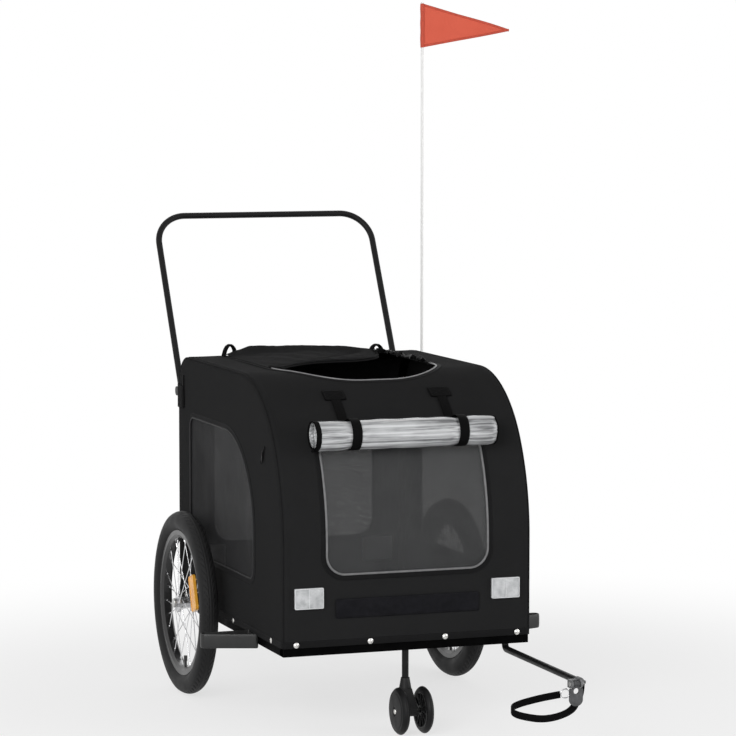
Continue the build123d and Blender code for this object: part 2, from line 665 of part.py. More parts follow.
def axle(side):
    """Bracket on the rail, with the fixed axle stub and the button that locks the wheel on it."""
    sign = SIDES[side]
    inner, outer = HALF, WHEEL_X - HUB_WIDTH / 2 - HUB_END - SIDE_GAP
    half = BRACKET_LENGTH / 2
    foot = box_between((FRAME_HALF, -half, FRAME_BOTTOM_Z), (HALF, half, HEM_Z - SEAT))
    plate = box_between((HALF, -half, FRAME_BOTTOM_Z), (HALF + BRACKET, half, WHEEL_R + BRACKET_RISE))
    plate = fillet(plate.edges().filter_by(Axis.X).group_by(Axis.Z)[-1], BRACKET_RISE - 1)
    boss = rod((inner, 0, WHEEL_R), (outer, 0, WHEEL_R), AXLE_BOSS_R)
    end = WHEEL_X + HUB_WIDTH / 2 + HUB_END + SIDE_GAP
    stub = rod((inner, 0, WHEEL_R), (end, 0, WHEEL_R), AXLE_R)
    cap = rod((end, 0, WHEEL_R), (end + AXLE_CAP, 0, WHEEL_R), AXLE_CAP_R)
    cap = fillet(cap.edges().filter_by(GeomType.CIRCLE).sort_by(Axis.X)[-1], AXLE_CAP / 3)
    bore = rod((inner, 0, WHEEL_R), (outer, 0, WHEEL_R), AXLE_R + RUN)
    pieces = {f"{side}_axle_bracket": foot + plate + boss - bore, f"{side}_axle": stub + cap}
    place = Location() if sign > 0 else Rot(0, 0, 180)
    return {name: moved(piece, place) for name, piece in pieces.items()}


# ---- caster -------------------------------------------------------------------------------
def caster():
    """Fixed post with a socket, a swivelling fork and its twin wheels on one axle."""
    y, pin_top = FRONT_TUBE_Y, CASTER_POST_END_Z + CASTER_PIN_LENGTH
    post = rod((0, y, CASTER_POST_END_Z), (0, y, FRAME_BOTTOM_Z), CASTER_POST_D / 2)
    post -= rod((0, y, CASTER_POST_END_Z), (0, y, pin_top), CASTER_PIN_R + RUN)
    axle_y, axle_z = y - CASTER_TRAIL, CASTER_WHEEL_R
    collar_top = CASTER_COLLAR_Z + CASTER_COLLAR
    collar = Pos(0, y, CASTER_COLLAR_Z) * Cone(
        CASTER_COLLAR_R, CASTER_POST_D / 2 + 2, collar_top - CASTER_COLLAR_Z,
        align=(Align.CENTER, Align.CENTER, Align.MIN),
    )
    pin = rod((0, y, collar_top), (0, y, pin_top - SIDE_GAP), CASTER_PIN_R)
    outline = make_face(make_hull([
        *(Pos(axle_y, axle_z) * Circle(CASTER_HUB_R)).edges(),
        *(Pos(y, CASTER_COLLAR_Z - 2) * Rectangle(2 * CASTER_COLLAR_R, 6)).edges(),
    ]))
    neck = extrude(Plane.YZ * outline, CASTER_NECK_WIDTH / 2, both=True)
    shaft_end = CASTER_NECK_WIDTH / 2 + CASTER_WHEEL_GAP + CASTER_WHEEL_WIDTH / 2
    shaft = rod((-shaft_end, axle_y, axle_z), (shaft_end, axle_y, axle_z), CASTER_AXLE_R)
    bore = rod((-shaft_end, axle_y, axle_z), (shaft_end, axle_y, axle_z), CASTER_AXLE_R + RUN)
    wheel_pair = shaft + caster_wheel(1) + caster_wheel(-1)
    return {
        "caster_post": post,
        "caster_fork": collar + neck + pin - bore,
        "caster_wheels": wheel_pair,
    }


def caster_wheel(sign):
    """One of the twin wheels: a domed disc with a rounded tread, on the caster's axle."""
    half, r = CASTER_WHEEL_WIDTH / 2, CASTER_WHEEL_R
    inner = Line((-half, 0), (-half, r - 4))
    tread = ThreePointArc(inner @ 1, (0, r), (half, r - 5))
    dome = ThreePointArc(tread @ 1, (half + 1.8, r * 0.5), (half + CASTER_DOME, CASTER_CAP_R))
    face = Polyline(dome @ 1, (half + CASTER_DOME, 0), (-half, 0))
    wheel = revolve(make_face([inner, tread, dome, face]), Axis.X)
    x = CASTER_NECK_WIDTH / 2 + CASTER_WHEEL_GAP + half
    place = Pos(x, FRONT_TUBE_Y - CASTER_TRAIL, r)
    return place * wheel if sign > 0 else mirror(place * wheel, Plane.YZ)


# ---- tow arm, hitch and strap -------------------------------------------------------------
def tow_arm():
    """Tow arm that swings on its upright stub, kept up by a collar on the front tube."""
    y, top = FRONT_TUBE_Y, FRAME_TOP + SIDE_GAP
    path = tube_path(((ARM_X, y, top), (ARM_X, y, ARM_Z), (ARM_X, ARM_END_Y, ARM_Z)), (ARM_BEND_R,))
    collar = rod((ARM_X, y, top), (ARM_X, y, top + ARM_COLLAR), ARM_D / 2 + ARM_COLLAR_LIP)
    return sweep_round(path, ARM_D) + collar


def coupler():
    """Coupler on the arm's end: a round body, a forked yoke for the hitch pin and a strap keeper."""
    end = ARM_END_Y - COUPLER_LENGTH
    body = rod((ARM_X, ARM_END_Y, ARM_Z), (ARM_X, end, ARM_Z), COUPLER_D / 2)
    body = chamfer(body.edges().filter_by(GeomType.CIRCLE), COUPLER_CHAMFER)
    slot_half = HITCH_BARREL / 2 + SIDE_GAP
    root = end + COUPLER_LENGTH / 2 - HITCH_PIN_Y
    face = Circle(COUPLER_EAR_R) + Pos(root / 2, 0) * Rectangle(root, 2 * COUPLER_EAR_R)
    place = Plane.YZ.offset(HITCH_X) * Pos(HITCH_PIN_Y, HITCH_PIN_Z)
    yoke = extrude(place * face, slot_half + COUPLER_EAR, both=True)
    slot_front, slot_rear = HITCH_PIN_Y - 2 * COUPLER_EAR_R, HITCH_PIN_Y + HITCH_BARREL_R + SIDE_GAP
    yoke -= box_between(
        (HITCH_X - slot_half, slot_front, 0), (HITCH_X + slot_half, slot_rear, ROOF_Z)
    )
    start = strap_points()[0]
    half = KEEPER / 2
    keeper = box_between(
        (ARM_X, start[1] - half, start[2] + SEAT), (start[0] + half, start[1] + half, ARM_Z)
    )
    return body + yoke + keeper - hitch_bore(slot_half + COUPLER_EAR)


def hitch_bore(half):
    """Running bore for the hitch pin, out to a half length each side of the hitch."""
    y, z = HITCH_PIN_Y, HITCH_PIN_Z
    return rod((HITCH_X - half, y, z), (HITCH_X + half, y, z), HITCH_PIN_R + RUN)


def hitch_plate():
    """Hitch plate with a barrel on the coupler's pin and a hole for the cycle's axle."""
    half, drop = HITCH_BARREL / 2, COUPLER_EAR_R + SIDE_GAP
    outline = Pos(0, -HITCH_HEIGHT / 2) * RectangleRounded(HITCH_WIDTH, HITCH_HEIGHT, HITCH_WIDTH / 2 - 1)
    for sign in (-1, 1):
        outline -= Pos(sign * (half + HITCH_WIDTH / 2), 0) * Rectangle(HITCH_WIDTH, 2 * drop)
    outline -= Pos(0, -HITCH_HOLE_DROP) * Circle(HITCH_HOLE_R)
    plate = extrude(Plane.XZ * outline, HITCH / 2, both=True)
    plate += rod((-half, 0, 0), (half, 0, 0), HITCH_BARREL_R)
    return Pos(HITCH_X, HITCH_PIN_Y, HITCH_PIN_Z) * plate - hitch_bore(half)


def hitch_pin():
    """Headed pin through the coupler's ears."""
    half = HITCH_BARREL / 2 + SIDE_GAP + COUPLER_EAR
    y, z = HITCH_PIN_Y, HITCH_PIN_Z
    pin = rod((HITCH_X - half, y, z), (HITCH_X + half, y, z), HITCH_PIN_R)
    for sign in (-1, 1):
        start = (HITCH_X + sign * half, y, z)
        pin += rod(start, (start[0] + sign * HITCH_PIN_HEAD, y, z), HITCH_PIN_R * 1.6)
    return pin


def route_radii(route):
    """Bend radii of a cord's route: 0.45 of the shorter run over the tangent of half the turn."""
    radii = []
    for before, here, after in zip(route, route[1:], route[2:]):
        first, second = Vector(*here) - Vector(*before), Vector(*after) - Vector(*here)
        shorter = min(first.length, second.length)
        radii.append(0.45 * shorter / tan(radians(first.get_angle(second) / 2)))
    return radii


def strap_points():
    """The strap's route, from the underside of the coupler's keeper."""
    keeper = (ARM_X + KEEPER_OUT, ARM_END_Y - KEEPER / 2, ARM_Z - KEEPER_DROP)
    return [tuple(a + b for a, b in zip(keeper, point)) for point in STRAP_ROUTE]


def safety_strap():
    """Webbing strap that hangs from the coupler, and the ring sewn to its end."""
    route = strap_points()
    radii = route_radii(route)
    print("strap radii", [round(r) for r in radii])
    path = tube_path(route, radii)
    last = Vector(*route[-1])
    along = (last - Vector(*route[-2])).normalized()
    centre = last + along * (RING_R + RING_WIRE + SEAT)
    plane = Plane(origin=centre, x_dir=along, z_dir=Vector(0, 0, 1).cross(along))
    ring = plane * Torus(RING_R, RING_WIRE)
    return {"safety_strap": sweep_round(path, STRAP_CORD_D), "strap_ring": ring}


# ---- push handle --------------------------------------------------------------------------
def handle_pieces():
    """U-shaped push handle with a pivot boss on each leg, its brackets, pins and knobs."""
    lean = tan(radians(HANDLE_LEAN))
    y0, z0 = HANDLE_PIVOT_Y, HANDLE_PIVOT_Z
    top = (y0 + HANDLE_RISE * lean, z0 + HANDLE_RISE)
    start = (y0, z0)
    points = ((-HANDLE_HALF, *start), (-HANDLE_HALF, *top), (HANDLE_HALF, *top), (HANDLE_HALF, *start))
    bar = sweep_round(tube_path(points, (HANDLE_CORNER_R, HANDLE_CORNER_R)), HANDLE_D)
    brackets, knobs = [], []
    for sign in (-1, 1):
        x = sign * HANDLE_HALF
        half = HANDLE_BOSS_WIDTH / 2
        bar += rod((x - half, y0, z0), (x + half, y0, z0), HANDLE_BOSS_R)
        bar -= rod((x - 2 * half, y0, z0), (x + 2 * half, y0, z0), HANDLE_PIN_R + RUN)
        brackets.append(Pos(x, 0, 0) * handle_bracket())
        seat = x - sign * (half + SIDE_GAP + HANDLE_EAR)
        knobs.append(Pos(seat, y0, z0) * Rot(0, -sign * 90, 0) * knob())
    return {"push_handle": bar, "handle_brackets": brackets, "handle_knobs": knobs}


def handle_bracket():
    """Plate on the rear wall with two ears round the handle's boss, and the pivot pin."""
    y0, z0, half = HANDLE_PIVOT_Y, HANDLE_PIVOT_Z, HANDLE_BOSS_WIDTH / 2 + SIDE_GAP
    wall = CABIN_REAR_Y
    outer = half + HANDLE_EAR
    low = z0 - HANDLE_PLATE_HEIGHT / 2
    plate = box_between((-outer, wall, low), (outer, wall + HANDLE_PLATE, low + HANDLE_PLATE_HEIGHT))
    ear = Circle(HANDLE_BOSS_R)
    ear += Pos(-HANDLE_OFF_WALL / 2, 0) * Rectangle(HANDLE_OFF_WALL, 2 * HANDLE_BOSS_R)
    bracket = plate + rod((-outer, y0, z0), (outer, y0, z0), HANDLE_PIN_R)
    for sign in (-1, 1):
        bracket += extrude(Plane.YZ.offset(sign * half) * Pos(y0, z0) * ear, sign * HANDLE_EAR)
    return bracket


def knob():
    """Clamping knob with six finger lobes, drawn along +Z from its seat."""
    lobe = KNOB_R * 0.28
    outline = Circle(KNOB_R - lobe / 2)
    for i in range(KNOB_LOBES):
        outline += Pos(*polar(KNOB_R - lobe, 360 * i / KNOB_LOBES)) * Circle(lobe)
    return extrude(outline, KNOB)


# ---- flag and wheel guards ----------------------------------------------------------------
def flag_pieces():
    """Pole in its socket on the left rail, with a triangular pennant sleeved on its top."""
    x, y, r = FLAG_X, FLAG_BEHIND_AXLE, FLAG_POLE_D / 2
    foot = FRAME_BOTTOM_Z
    socket = rod((x, y, foot), (x, y, foot + FLAG_SOCKET_HEIGHT), r + FLAG_SOCKET_WALL)
    socket -= rod((x, y, foot + FLAG_SOCKET_FLOOR), (x, y, foot + FLAG_SOCKET_HEIGHT), r + RUN)
    web = box_between((FRAME_HALF, y - r, foot), (x - r - 1, y + r, HEM_Z - SEAT))
    pole = rod((x, y, foot + FLAG_SOCKET_FLOOR), (x, y, FLAG_TOP_Z + FLAG_POLE_TIP), r)
    low = FLAG_TOP_Z - FLAG_HEIGHT
    sleeve_r = r + SEAT + FLAG
    points = ((0, low), (FLAG_LENGTH, FLAG_TOP_Z - FLAG_TIP_DROP), (0, FLAG_TOP_Z))
    triangle = make_face(Polyline(*points, close=True))
    cloth = Pos(x, y, 0) * extrude(Plane.XZ * triangle, FLAG / 2, both=True)
    sleeve = rod((x, y, low), (x, y, FLAG_TOP_Z), sleeve_r)
    pennant = cloth + sleeve - rod((x, y, low), (x, y, FLAG_TOP_Z), r + SEAT)
    return {"flag_socket": socket + web, "flag_pole": pole, "flag_pennant": pennant}


def wheel_guard(sign):
    """Band bent into a loop beside the rail, ahead of the wheel, with a flange on the rail."""
    front = CABIN_FRONT_Y + GUARD_BEHIND_FRONT
    rear, out = front + GUARD_DEPTH, HALF + GUARD_REACH
    points = ((FRAME_HALF, front), (out, front + GUARD_SWEEP), (out, rear), (FRAME_HALF, rear))
    radii = [GUARD_FOOT_R, GUARD_NOSE_R, GUARD_NOSE_R, GUARD_FOOT_R]
    outline = make_face(FilletPolyline(*points, radius=radii, close=True))
    band = outline - offset(outline, -GUARD_BAND)
    guard = extrude(Plane.XY.offset(GUARD_Z) * band, GUARD_HEIGHT)
    guard -= box_between((0, front - GUARD_DEPTH, HEM_Z - SEAT), (HALF, rear + GUARD_DEPTH, ROOF_Z))
    return guard if sign > 0 else mirror(guard, Plane.YZ)


# ---- assembly -----------------------------------------------------------------------------
def moved(piece, place):
    """Move a solid, or each solid of a list."""
    return [place * solid for solid in piece] if isinstance(piece, list) else place * piece


def trailer():
    """Every node of the trailer by name."""
    nodes = dict(base_frame())
    nodes["floor_panel"] = floor_panel()
    nodes["left_hoop"], nodes["right_hoop"] = hoop(HOOP_X), hoop(-HOOP_X)
    nodes["roof_cross_tubes"] = roof_cross_tubes()
    nodes.update(cover())
    nodes.update(soft_goods())
    nodes.update(reflectors())
    nodes["hem_snaps"] = hem_snaps()
    for side, sign in SIDES.items():
        nodes.update(wheel_pieces(side))
        nodes.update(axle(side))
        nodes[f"{side}_wheel_guard"] = wheel_guard(sign)
    nodes.update(caster())
    nodes["tow_arm"], nodes["coupler"] = tow_arm(), coupler()
    nodes["hitch_plate"], nodes["hitch_pin"] = hitch_plate(), hitch_pin()
    nodes.update(safety_strap())
    nodes.update(handle_pieces())
    nodes.update(flag_pieces())
    return nodes


def as_shape(piece):
    """One shape from a solid or a list of solids."""
    return Compound(children=list(piece)) if isinstance(piece, list) else piece


def write_parts(nodes):
    """Move the origin to the bottom centre of the trailer and write one file per node."""
    shapes = {name: as_shape(piece) for name, piece in nodes.items()}
    rigid = [shape.bounding_box() for name, shape in shapes.items() if name not in CORD_NODES]
    x = (min(box.min.X for box in rigid) + max(box.max.X for box in rigid)) / 2
    y = (min(box.min.Y for box in rigid) + max(box.max.Y for box in rigid)) / 2
    shift = Pos(-x, -y, 0)
    print("moved by", -x, -y)
    os.makedirs("parts", exist_ok=True)
    for name, shape in shapes.items():
        export_step(shift * shape, f"parts/{name}.step")


write_parts(trailer())
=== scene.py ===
import math

import bmesh
import bpy
import numpy as np
from mathutils import Matrix, Vector, noise


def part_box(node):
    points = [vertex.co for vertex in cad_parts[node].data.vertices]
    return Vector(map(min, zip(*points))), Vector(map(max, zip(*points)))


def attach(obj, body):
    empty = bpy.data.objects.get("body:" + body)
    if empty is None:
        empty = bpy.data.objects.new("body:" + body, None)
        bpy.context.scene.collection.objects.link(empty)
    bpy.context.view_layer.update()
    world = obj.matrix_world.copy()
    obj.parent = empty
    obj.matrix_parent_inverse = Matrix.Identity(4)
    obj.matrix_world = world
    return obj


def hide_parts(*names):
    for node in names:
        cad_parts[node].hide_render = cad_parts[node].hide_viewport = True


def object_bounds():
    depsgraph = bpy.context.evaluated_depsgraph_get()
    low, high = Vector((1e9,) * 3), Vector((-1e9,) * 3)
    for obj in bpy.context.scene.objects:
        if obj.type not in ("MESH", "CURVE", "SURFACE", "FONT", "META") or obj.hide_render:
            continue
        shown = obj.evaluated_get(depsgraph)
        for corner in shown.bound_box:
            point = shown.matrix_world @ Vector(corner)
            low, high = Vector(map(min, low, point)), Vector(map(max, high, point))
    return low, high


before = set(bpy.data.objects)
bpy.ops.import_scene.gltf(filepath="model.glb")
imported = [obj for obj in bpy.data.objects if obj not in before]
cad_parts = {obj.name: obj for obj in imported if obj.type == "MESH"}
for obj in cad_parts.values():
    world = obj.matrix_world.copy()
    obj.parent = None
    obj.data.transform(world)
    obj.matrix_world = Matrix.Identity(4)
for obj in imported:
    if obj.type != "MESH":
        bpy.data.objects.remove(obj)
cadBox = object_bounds()
scene = bpy.context.scene
print("frame loaded:", len(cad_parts), "nodes")
bothSides = (("left", 1), ("right", -1))


class Nodes:
    # short ways to add and join nodes in one tree
    def __init__(self, tree):
        self.tree = tree

    def add(self, kind, **settings):
        node = self.tree.nodes.new(kind)
        for key, value in settings.items():
            setattr(node, key, value)
        return node

    def put(self, value, socket):
        if isinstance(value, bpy.types.NodeSocket):
            self.tree.links.new(value, socket)
        elif value is not None:
            socket.default_value = value

    def maths(self, operation, first, second=None, clamp=False):
        node = self.add("ShaderNodeMath", operation=operation, use_clamp=clamp)
        self.put(first, node.inputs[0])
        self.put(second, node.inputs[1])
        return node.outputs[0]

    def blend(self, share, first, second):
        node = self.add("ShaderNodeMix", data_type="RGBA")
        self.put(share, node.inputs[0])
        self.put(first, node.inputs[6])
        self.put(second, node.inputs[7])
        return node.outputs[2]

    def mingle(self, first, second, share):
        # both values added, with this share of the second
        rest = self.maths("MULTIPLY", first, 1.0 - share)
        return self.maths("ADD", rest, self.maths("MULTIPLY", second, share))

    def spread(self, value, low, high, fromLow=0.0, fromHigh=1.0):
        node = self.add("ShaderNodeMapRange")
        for spot, amount in enumerate((value, fromLow, fromHigh, low, high)):
            self.put(amount, node.inputs[spot])
        return node.outputs[0]

    def noise(self, vector, scale, detail=3.0, rough=0.5):
        node = self.add("ShaderNodeTexNoise")
        self.put(vector, node.inputs["Vector"])
        self.put(scale, node.inputs["Scale"])
        self.put(detail, node.inputs["Detail"])
        self.put(rough, node.inputs["Roughness"])
        return node.outputs["Fac"]

    def stretch(self, vector, scale):
        node = self.add("ShaderNodeMapping")
        self.put(vector, node.inputs["Vector"])
        node.inputs["Scale"].default_value = scale
        return node.outputs["Vector"]

    def axes(self, vector):
        node = self.add("ShaderNodeSeparateXYZ")
        self.put(vector, node.inputs[0])
        return node.outputs


# Camera, light and floor
view = {
    "spot": (-2.35215, -6.48775, 1.3621),
    "tilt": 84.738,
    "turn": -19.599,
    "lens": 158.87,
}


def placeCamera():
    data = bpy.data.cameras.new("camera")
    data.lens = view["lens"]
    data.sensor_width = 36.0
    data.clip_end = 60.0
    camera = bpy.data.objects.new("camera", data)
    camera.location = view["spot"]
    camera.rotation_euler = (math.radians(view["tilt"]), 0.0, math.radians(view["turn"]))
    scene.collection.objects.link(camera)
    scene.camera = camera


studio = {
    "sky": (0.86, 0.16),  # at the horizon and overhead
    "key": {"spot": (-3.2, -3.6, 2.2), "size": 2.6, "power": 113.0},
    "fill": {"spot": (3.6, -2.6, 1.4), "size": 2.4, "power": 46.0},
    "back": {"spot": (0.6, 3.8, 2.6), "size": 2.6, "power": 14.0},
    "floorTone": 0.93,
    "floorReach": 30.0,
    "fadeFrom": 0.7,
    "fadeTo": 2.0,
    "fadeShare": 0.68,
}


def seenDirectly(n):
    # a mask that is 1 for what the eye, a mirror or glass sees directly
    path = n.add("ShaderNodeLightPath").outputs
    both = n.maths("MAXIMUM", path["Is Camera Ray"], path["Is Glossy Ray"])
    return n.maths("MAXIMUM", both, path["Is Transmission Ray"])


def lightStudio():
    world = bpy.data.worlds.new("studio")
    scene.world = world
    world.use_nodes = True
    n = Nodes(world.node_tree)
    upward = n.axes(n.add("ShaderNodeTexCoord").outputs["Generated"])["Z"]
    strength = n.spread(seenDirectly(n), n.spread(upward, *studio["sky"]), 1.0)
    sky = world.node_tree.nodes["Background"].inputs
    n.put((1.0, 1.0, 1.0, 1.0), sky["Color"])
    n.put(strength, sky["Strength"])
    middle = (cadBox[0] + cadBox[1]) / 2
    for name in ("key", "fill", "back"):
        light = studio[name]
        data = bpy.data.lights.new(name, "AREA")
        data.size = light["size"]
        data.energy = light["power"]
        lamp = bpy.data.objects.new(name, data)
        lamp.location = light["spot"]
        lamp.rotation_euler = (middle - Vector(light["spot"])).to_track_quat("-Z", "Y").to_euler()
        scene.collection.objects.link(lamp)
    scene.view_settings.view_transform = "Standard"


def layFloor():
    far = studio["floorReach"]
    corners = [(-far, -far, 0), (far, -far, 0), (far, far, 0), (-far, far, 0)]
    mesh = bpy.data.meshes.new("studio_floor")
    mesh.from_pydata(corners, [], [(0, 1, 2, 3)])
    floor = bpy.data.objects.new("studio_floor", mesh)
    material = bpy.data.materials.new("studio_floor")
    material.use_nodes = True
    n = Nodes(material.node_tree)
    shader = material.node_tree.nodes["Principled BSDF"]
    tone = studio["floorTone"]
    n.put((tone, tone, tone, 1.0), shader.inputs["Base Color"])
    n.put(0.9, shader.inputs["Roughness"])
    n.put(0.1, shader.inputs["Specular IOR Level"])
    # far from the trailer the floor turns into the white backdrop, so no horizon shows
    away = n.add("ShaderNodeVectorMath", operation="LENGTH")
    n.put(n.add("ShaderNodeTexCoord").outputs["Object"], away.inputs[0])
    reach = studio["fadeFrom"], studio["fadeTo"]
    whiter = n.spread(away.outputs["Value"], studio["fadeShare"], 1.0, *reach)
    whiter.node.interpolation_type = "SMOOTHSTEP"
    mix = n.add("ShaderNodeMixShader")
    n.put(n.maths("MULTIPLY", whiter, seenDirectly(n)), mix.inputs[0])
    n.put(shader.outputs[0], mix.inputs[1])
    n.put(n.add("ShaderNodeEmission").outputs[0], mix.inputs[2])
    n.put(mix.outputs[0], material.node_tree.nodes["Material Output"].inputs["Surface"])
    mesh.materials.append(material)
    scene.collection.objects.link(floor)


placeCamera()
lightStudio()
layFloor()
print("camera, light and floor placed")


def addPiece(name, shape, finish, body="chassis", smooth=True, uv=None):
    # shape is points and faces
    points, faces = shape
    mesh = bpy.data.meshes.new(name)
    mesh.from_pydata([tuple(p) for p in points], [], faces)
    if uv is not None:
        layer = mesh.uv_layers.new(name="cloth")
        corners = np.empty(len(mesh.loops), dtype=np.int32)
        mesh.loops.foreach_get("vertex_index", corners)
        layer.data.foreach_set("uv", np.asarray(uv, dtype=np.float32)[corners].ravel())
    mesh.materials.append(finishes[finish])
    if smooth:
        mesh.shade_smooth()
    piece = bpy.data.objects.new(name, mesh)
    scene.collection.objects.link(piece)
    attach(piece, body)
    return piece


def join(*shapes):
    points, faces = [], []
    for more, sides in shapes:
        start = len(points)
        points += [tuple(p) for p in more]
        faces += [tuple(i + start for i in side) for side in sides]
    return points, faces


def tangents(points, closed=False):
    # the line's direction at each point
    count = len(points)
    found = []
    for i in range(count):
        before = points[i - 1] if closed or i else points[0]
        after = points[(i + 1) % count] if closed or i < count - 1 else points[-1]
        found.append((Vector(after) - Vector(before)).normalized())
    return found


def squareTo(way, tangent):
    return (way - tangent * way.dot(tangent)).normalized()


def framesAlong(points, closed, up):
    # tangent, side and lift at each point; the side turns as little as it can from up x tangent
    found, lift = [], Vector(up)
    for tangent in tangents(points, closed):
        lift = squareTo(lift, tangent)
        found.append((tangent, lift.cross(tangent).normalized(), lift.copy()))
    return found


def marksAlong(points):
    # how far along the line each point is
    return np.cumsum([0.0] + [(b - a).length for a, b in zip(points, points[1:])])


def fade(distance, width):
    # 0 at an edge, 1 from width on
    share = np.clip(distance / width, 0, 1)
    return share * share * (3 - 2 * share)


def ringFaces(turns, ring, closed=True):
    # the quads between rings of points that stand round an axis
    faces = []
    for i in range(turns):
        here, there = i * ring, (i + 1) % turns * ring
        faces += [
            (here + k, there + k, there + (k + 1) % ring, here + (k + 1) % ring)
            for k in range(ring if closed else ring - 1)
        ]
    return faces


def gridFaces(rows, columns):
    # the quads between lines of points, one more than there are columns in each line
    line = columns + 1
    first = (np.arange(rows)[:, None] * line + np.arange(columns)[None, :]).ravel()
    return np.stack([first, first + 1, first + line + 1, first + line], axis=1)


def sweepSection(points, section, frames, closed=False, capped=True):
    # section is a ring of (side, lift) offsets, the same at every point or one for each
    count, ring = len(points), len(section[0]) if isinstance(section[0][0], (tuple, list)) else len(section)
    verts, faces = [], []
    for i, (point, (_, side, lift)) in enumerate(zip(points, frames)):
        shape = section[i] if isinstance(section[0][0], (tuple, list)) else section
        verts += [Vector(point) + side * a + lift * b for a, b in shape]
    for i in range(count if closed else count - 1):
        here, there = i * ring, (i + 1) % count * ring
        faces += [
            (here + k, here + (k + 1) % ring, there + (k + 1) % ring, there + k) for k in range(ring)
        ]
    if capped and not closed:
        faces += [tuple(range(ring))[::-1], tuple(range((count - 1) * ring, count * ring))]
    return verts, faces


def circle(radius, sides):
    return [
        (radius * math.cos(2 * math.pi * k / sides), radius * math.sin(2 * math.pi * k / sides))
        for k in range(sides)
    ]


def tube(points, radius, sides=8, closed=False, up=(0.31, 0.17, 0.93)):
    return sweepSection(points, circle(radius, sides), framesAlong(points, closed, up), closed)


def webSection(width, thick):
    # webbing's section: flat, with thinner woven edges
    half, edge, t = width / 2, min(thick, width / 4), thick / 2
    return [
        (-half, -t * 0.3), (edge - half, -t), (half - edge, -t), (half, -t * 0.3),
        (half, t * 0.3), (half - edge, t), (edge - half, t), (-half, t * 0.3),
    ]


def band(points, lifts, width, thick, closed=False):
    # a flat strap: lifts are the directions its face looks at each point
    frames = []
    for tangent, face in zip(tangents(points, closed), lifts):
        lift = squareTo(Vector(face), tangent)
        frames.append((tangent, lift.cross(tangent).normalized(), lift))
    return sweepSection(points, webSection(width, thick), frames, closed)


def spin(profile, centre, turns=96, closed=True):
    # profile of (along X, radius) points turned about the X axis through centre
    points = []
    for i in range(turns):
        a = 2 * math.pi * i / turns
        points += [
            (centre[0] + x, centre[1] + r * math.cos(a), centre[2] + r * math.sin(a)) for x, r in profile
        ]
    return points, ringFaces(turns, len(profile), closed)


def spinUpright(profile, centre, axis, turns=20):
    # profile of (radius, along axis) points; its first and last points lie on the axis or are capped
    axis = Vector(axis).normalized()
    side = axis.orthogonal().normalized()
    lift = axis.cross(side)
    points, ring = [], len(profile)
    for i in range(turns):
        a = 2 * math.pi * i / turns
        out = side * math.cos(a) + lift * math.sin(a)
        points += [Vector(centre) + out * r + axis * h for r, h in profile]
    faces = ringFaces(turns, ring, closed=False)
    faces.append(tuple(i * ring for i in range(turns))[::-1])
    faces.append(tuple(i * ring + ring - 1 for i in range(turns)))
    return points, faces


def stitches(points, lifts, pitch, length, radius):
    # a row of short thread ends along a line, each slightly sunk at both ends
    line = [Vector(p) for p in points]
    gaps = [(b - a).length for a, b in zip(line, line[1:])]
    marks = np.cumsum([0.0] + gaps)
    shapes = []
    for start in np.arange(pitch / 2, marks[-1] - length, pitch):
        ends = []
        for where in (start, start + length / 2, start + length):
            i = min(int(np.searchsorted(marks, where, side="right")) - 1, len(gaps) - 1)
            share = (where - marks[i]) / max(gaps[i], 1e-9)
            lift = Vector(lifts[i]).lerp(Vector(lifts[i + 1]), share)
            ends.append((line[i].lerp(line[i + 1], share), lift))
        sunk = [p + n * (radius * (0.9 if k == 1 else 0.1)) for k, (p, n) in enumerate(ends)]
        shapes.append(tube(sunk, radius, 5, up=ends[1][1]))
    return join(*shapes)


def roundedOutline(low, high, radii, step=0.002):
    # corners from the low one, counter-clockwise; straight sides are divided too
    corners = ((low[0], low[1]), (high[0], low[1]), (high[0], high[1]), (low[0], high[1]))
    inward = ((1, 1), (-1, 1), (-1, -1), (1, -1))
    points = []
    for k, (corner, sign, radius) in enumerate(zip(corners, inward, radii)):
        centre = (corner[0] + sign[0] * radius, corner[1] + sign[1] * radius)
        start = math.pi * (1 + k / 2)
        turns = max(2, int(radius * math.pi / 2 / step))
        for i in range(turns + 1):
            a = start + math.pi / 2 * i / turns
            points.append((centre[0] + radius * math.cos(a), centre[1] + radius * math.sin(a)))
    return evenly(points, step)


def evenly(points, step):
    # the closed outline again, with its points a step apart
    line = np.array(points + [points[0]])
    marks = np.concatenate([[0], np.cumsum(np.hypot(*np.diff(line, axis=0).T))])
    where = np.linspace(0, marks[-1], max(8, int(marks[-1] / step)), endpoint=False)
    x, y = (np.interp(where, marks, line[:, k]) for k in (0, 1))
    return [(float(a), float(b)) for a, b in zip(x, y)]


def insideOf(outline, u, v):
    # even-odd test of many points against one outline
    edge = np.array(outline)
    found = np.zeros(u.shape, bool)
    for (x0, y0), (x1, y1) in zip(edge, np.roll(edge, -1, axis=0)):
        if y0 != y1:
            cross = (y0 > v) != (y1 > v)
            found ^= cross & (u < (x1 - x0) * (v - y0) / (y1 - y0) + x0)
    return found


def nearestTo(edge, u, v):
    # distance from each point to the nearest of the edge's points, and that one's place in the list
    gap = (edge[:, 0][None, :] - u[:, None]) ** 2 + (edge[:, 1][None, :] - v[:, None]) ** 2
    return np.sqrt(gap.min(axis=1)), gap.argmin(axis=1)


def nearestOn(outline, u, v):
    # distance from each point to the outline, and the outline's nearest point
    edge = np.array(outline)
    gap, best = nearestTo(edge, u, v)
    return gap, edge[best]


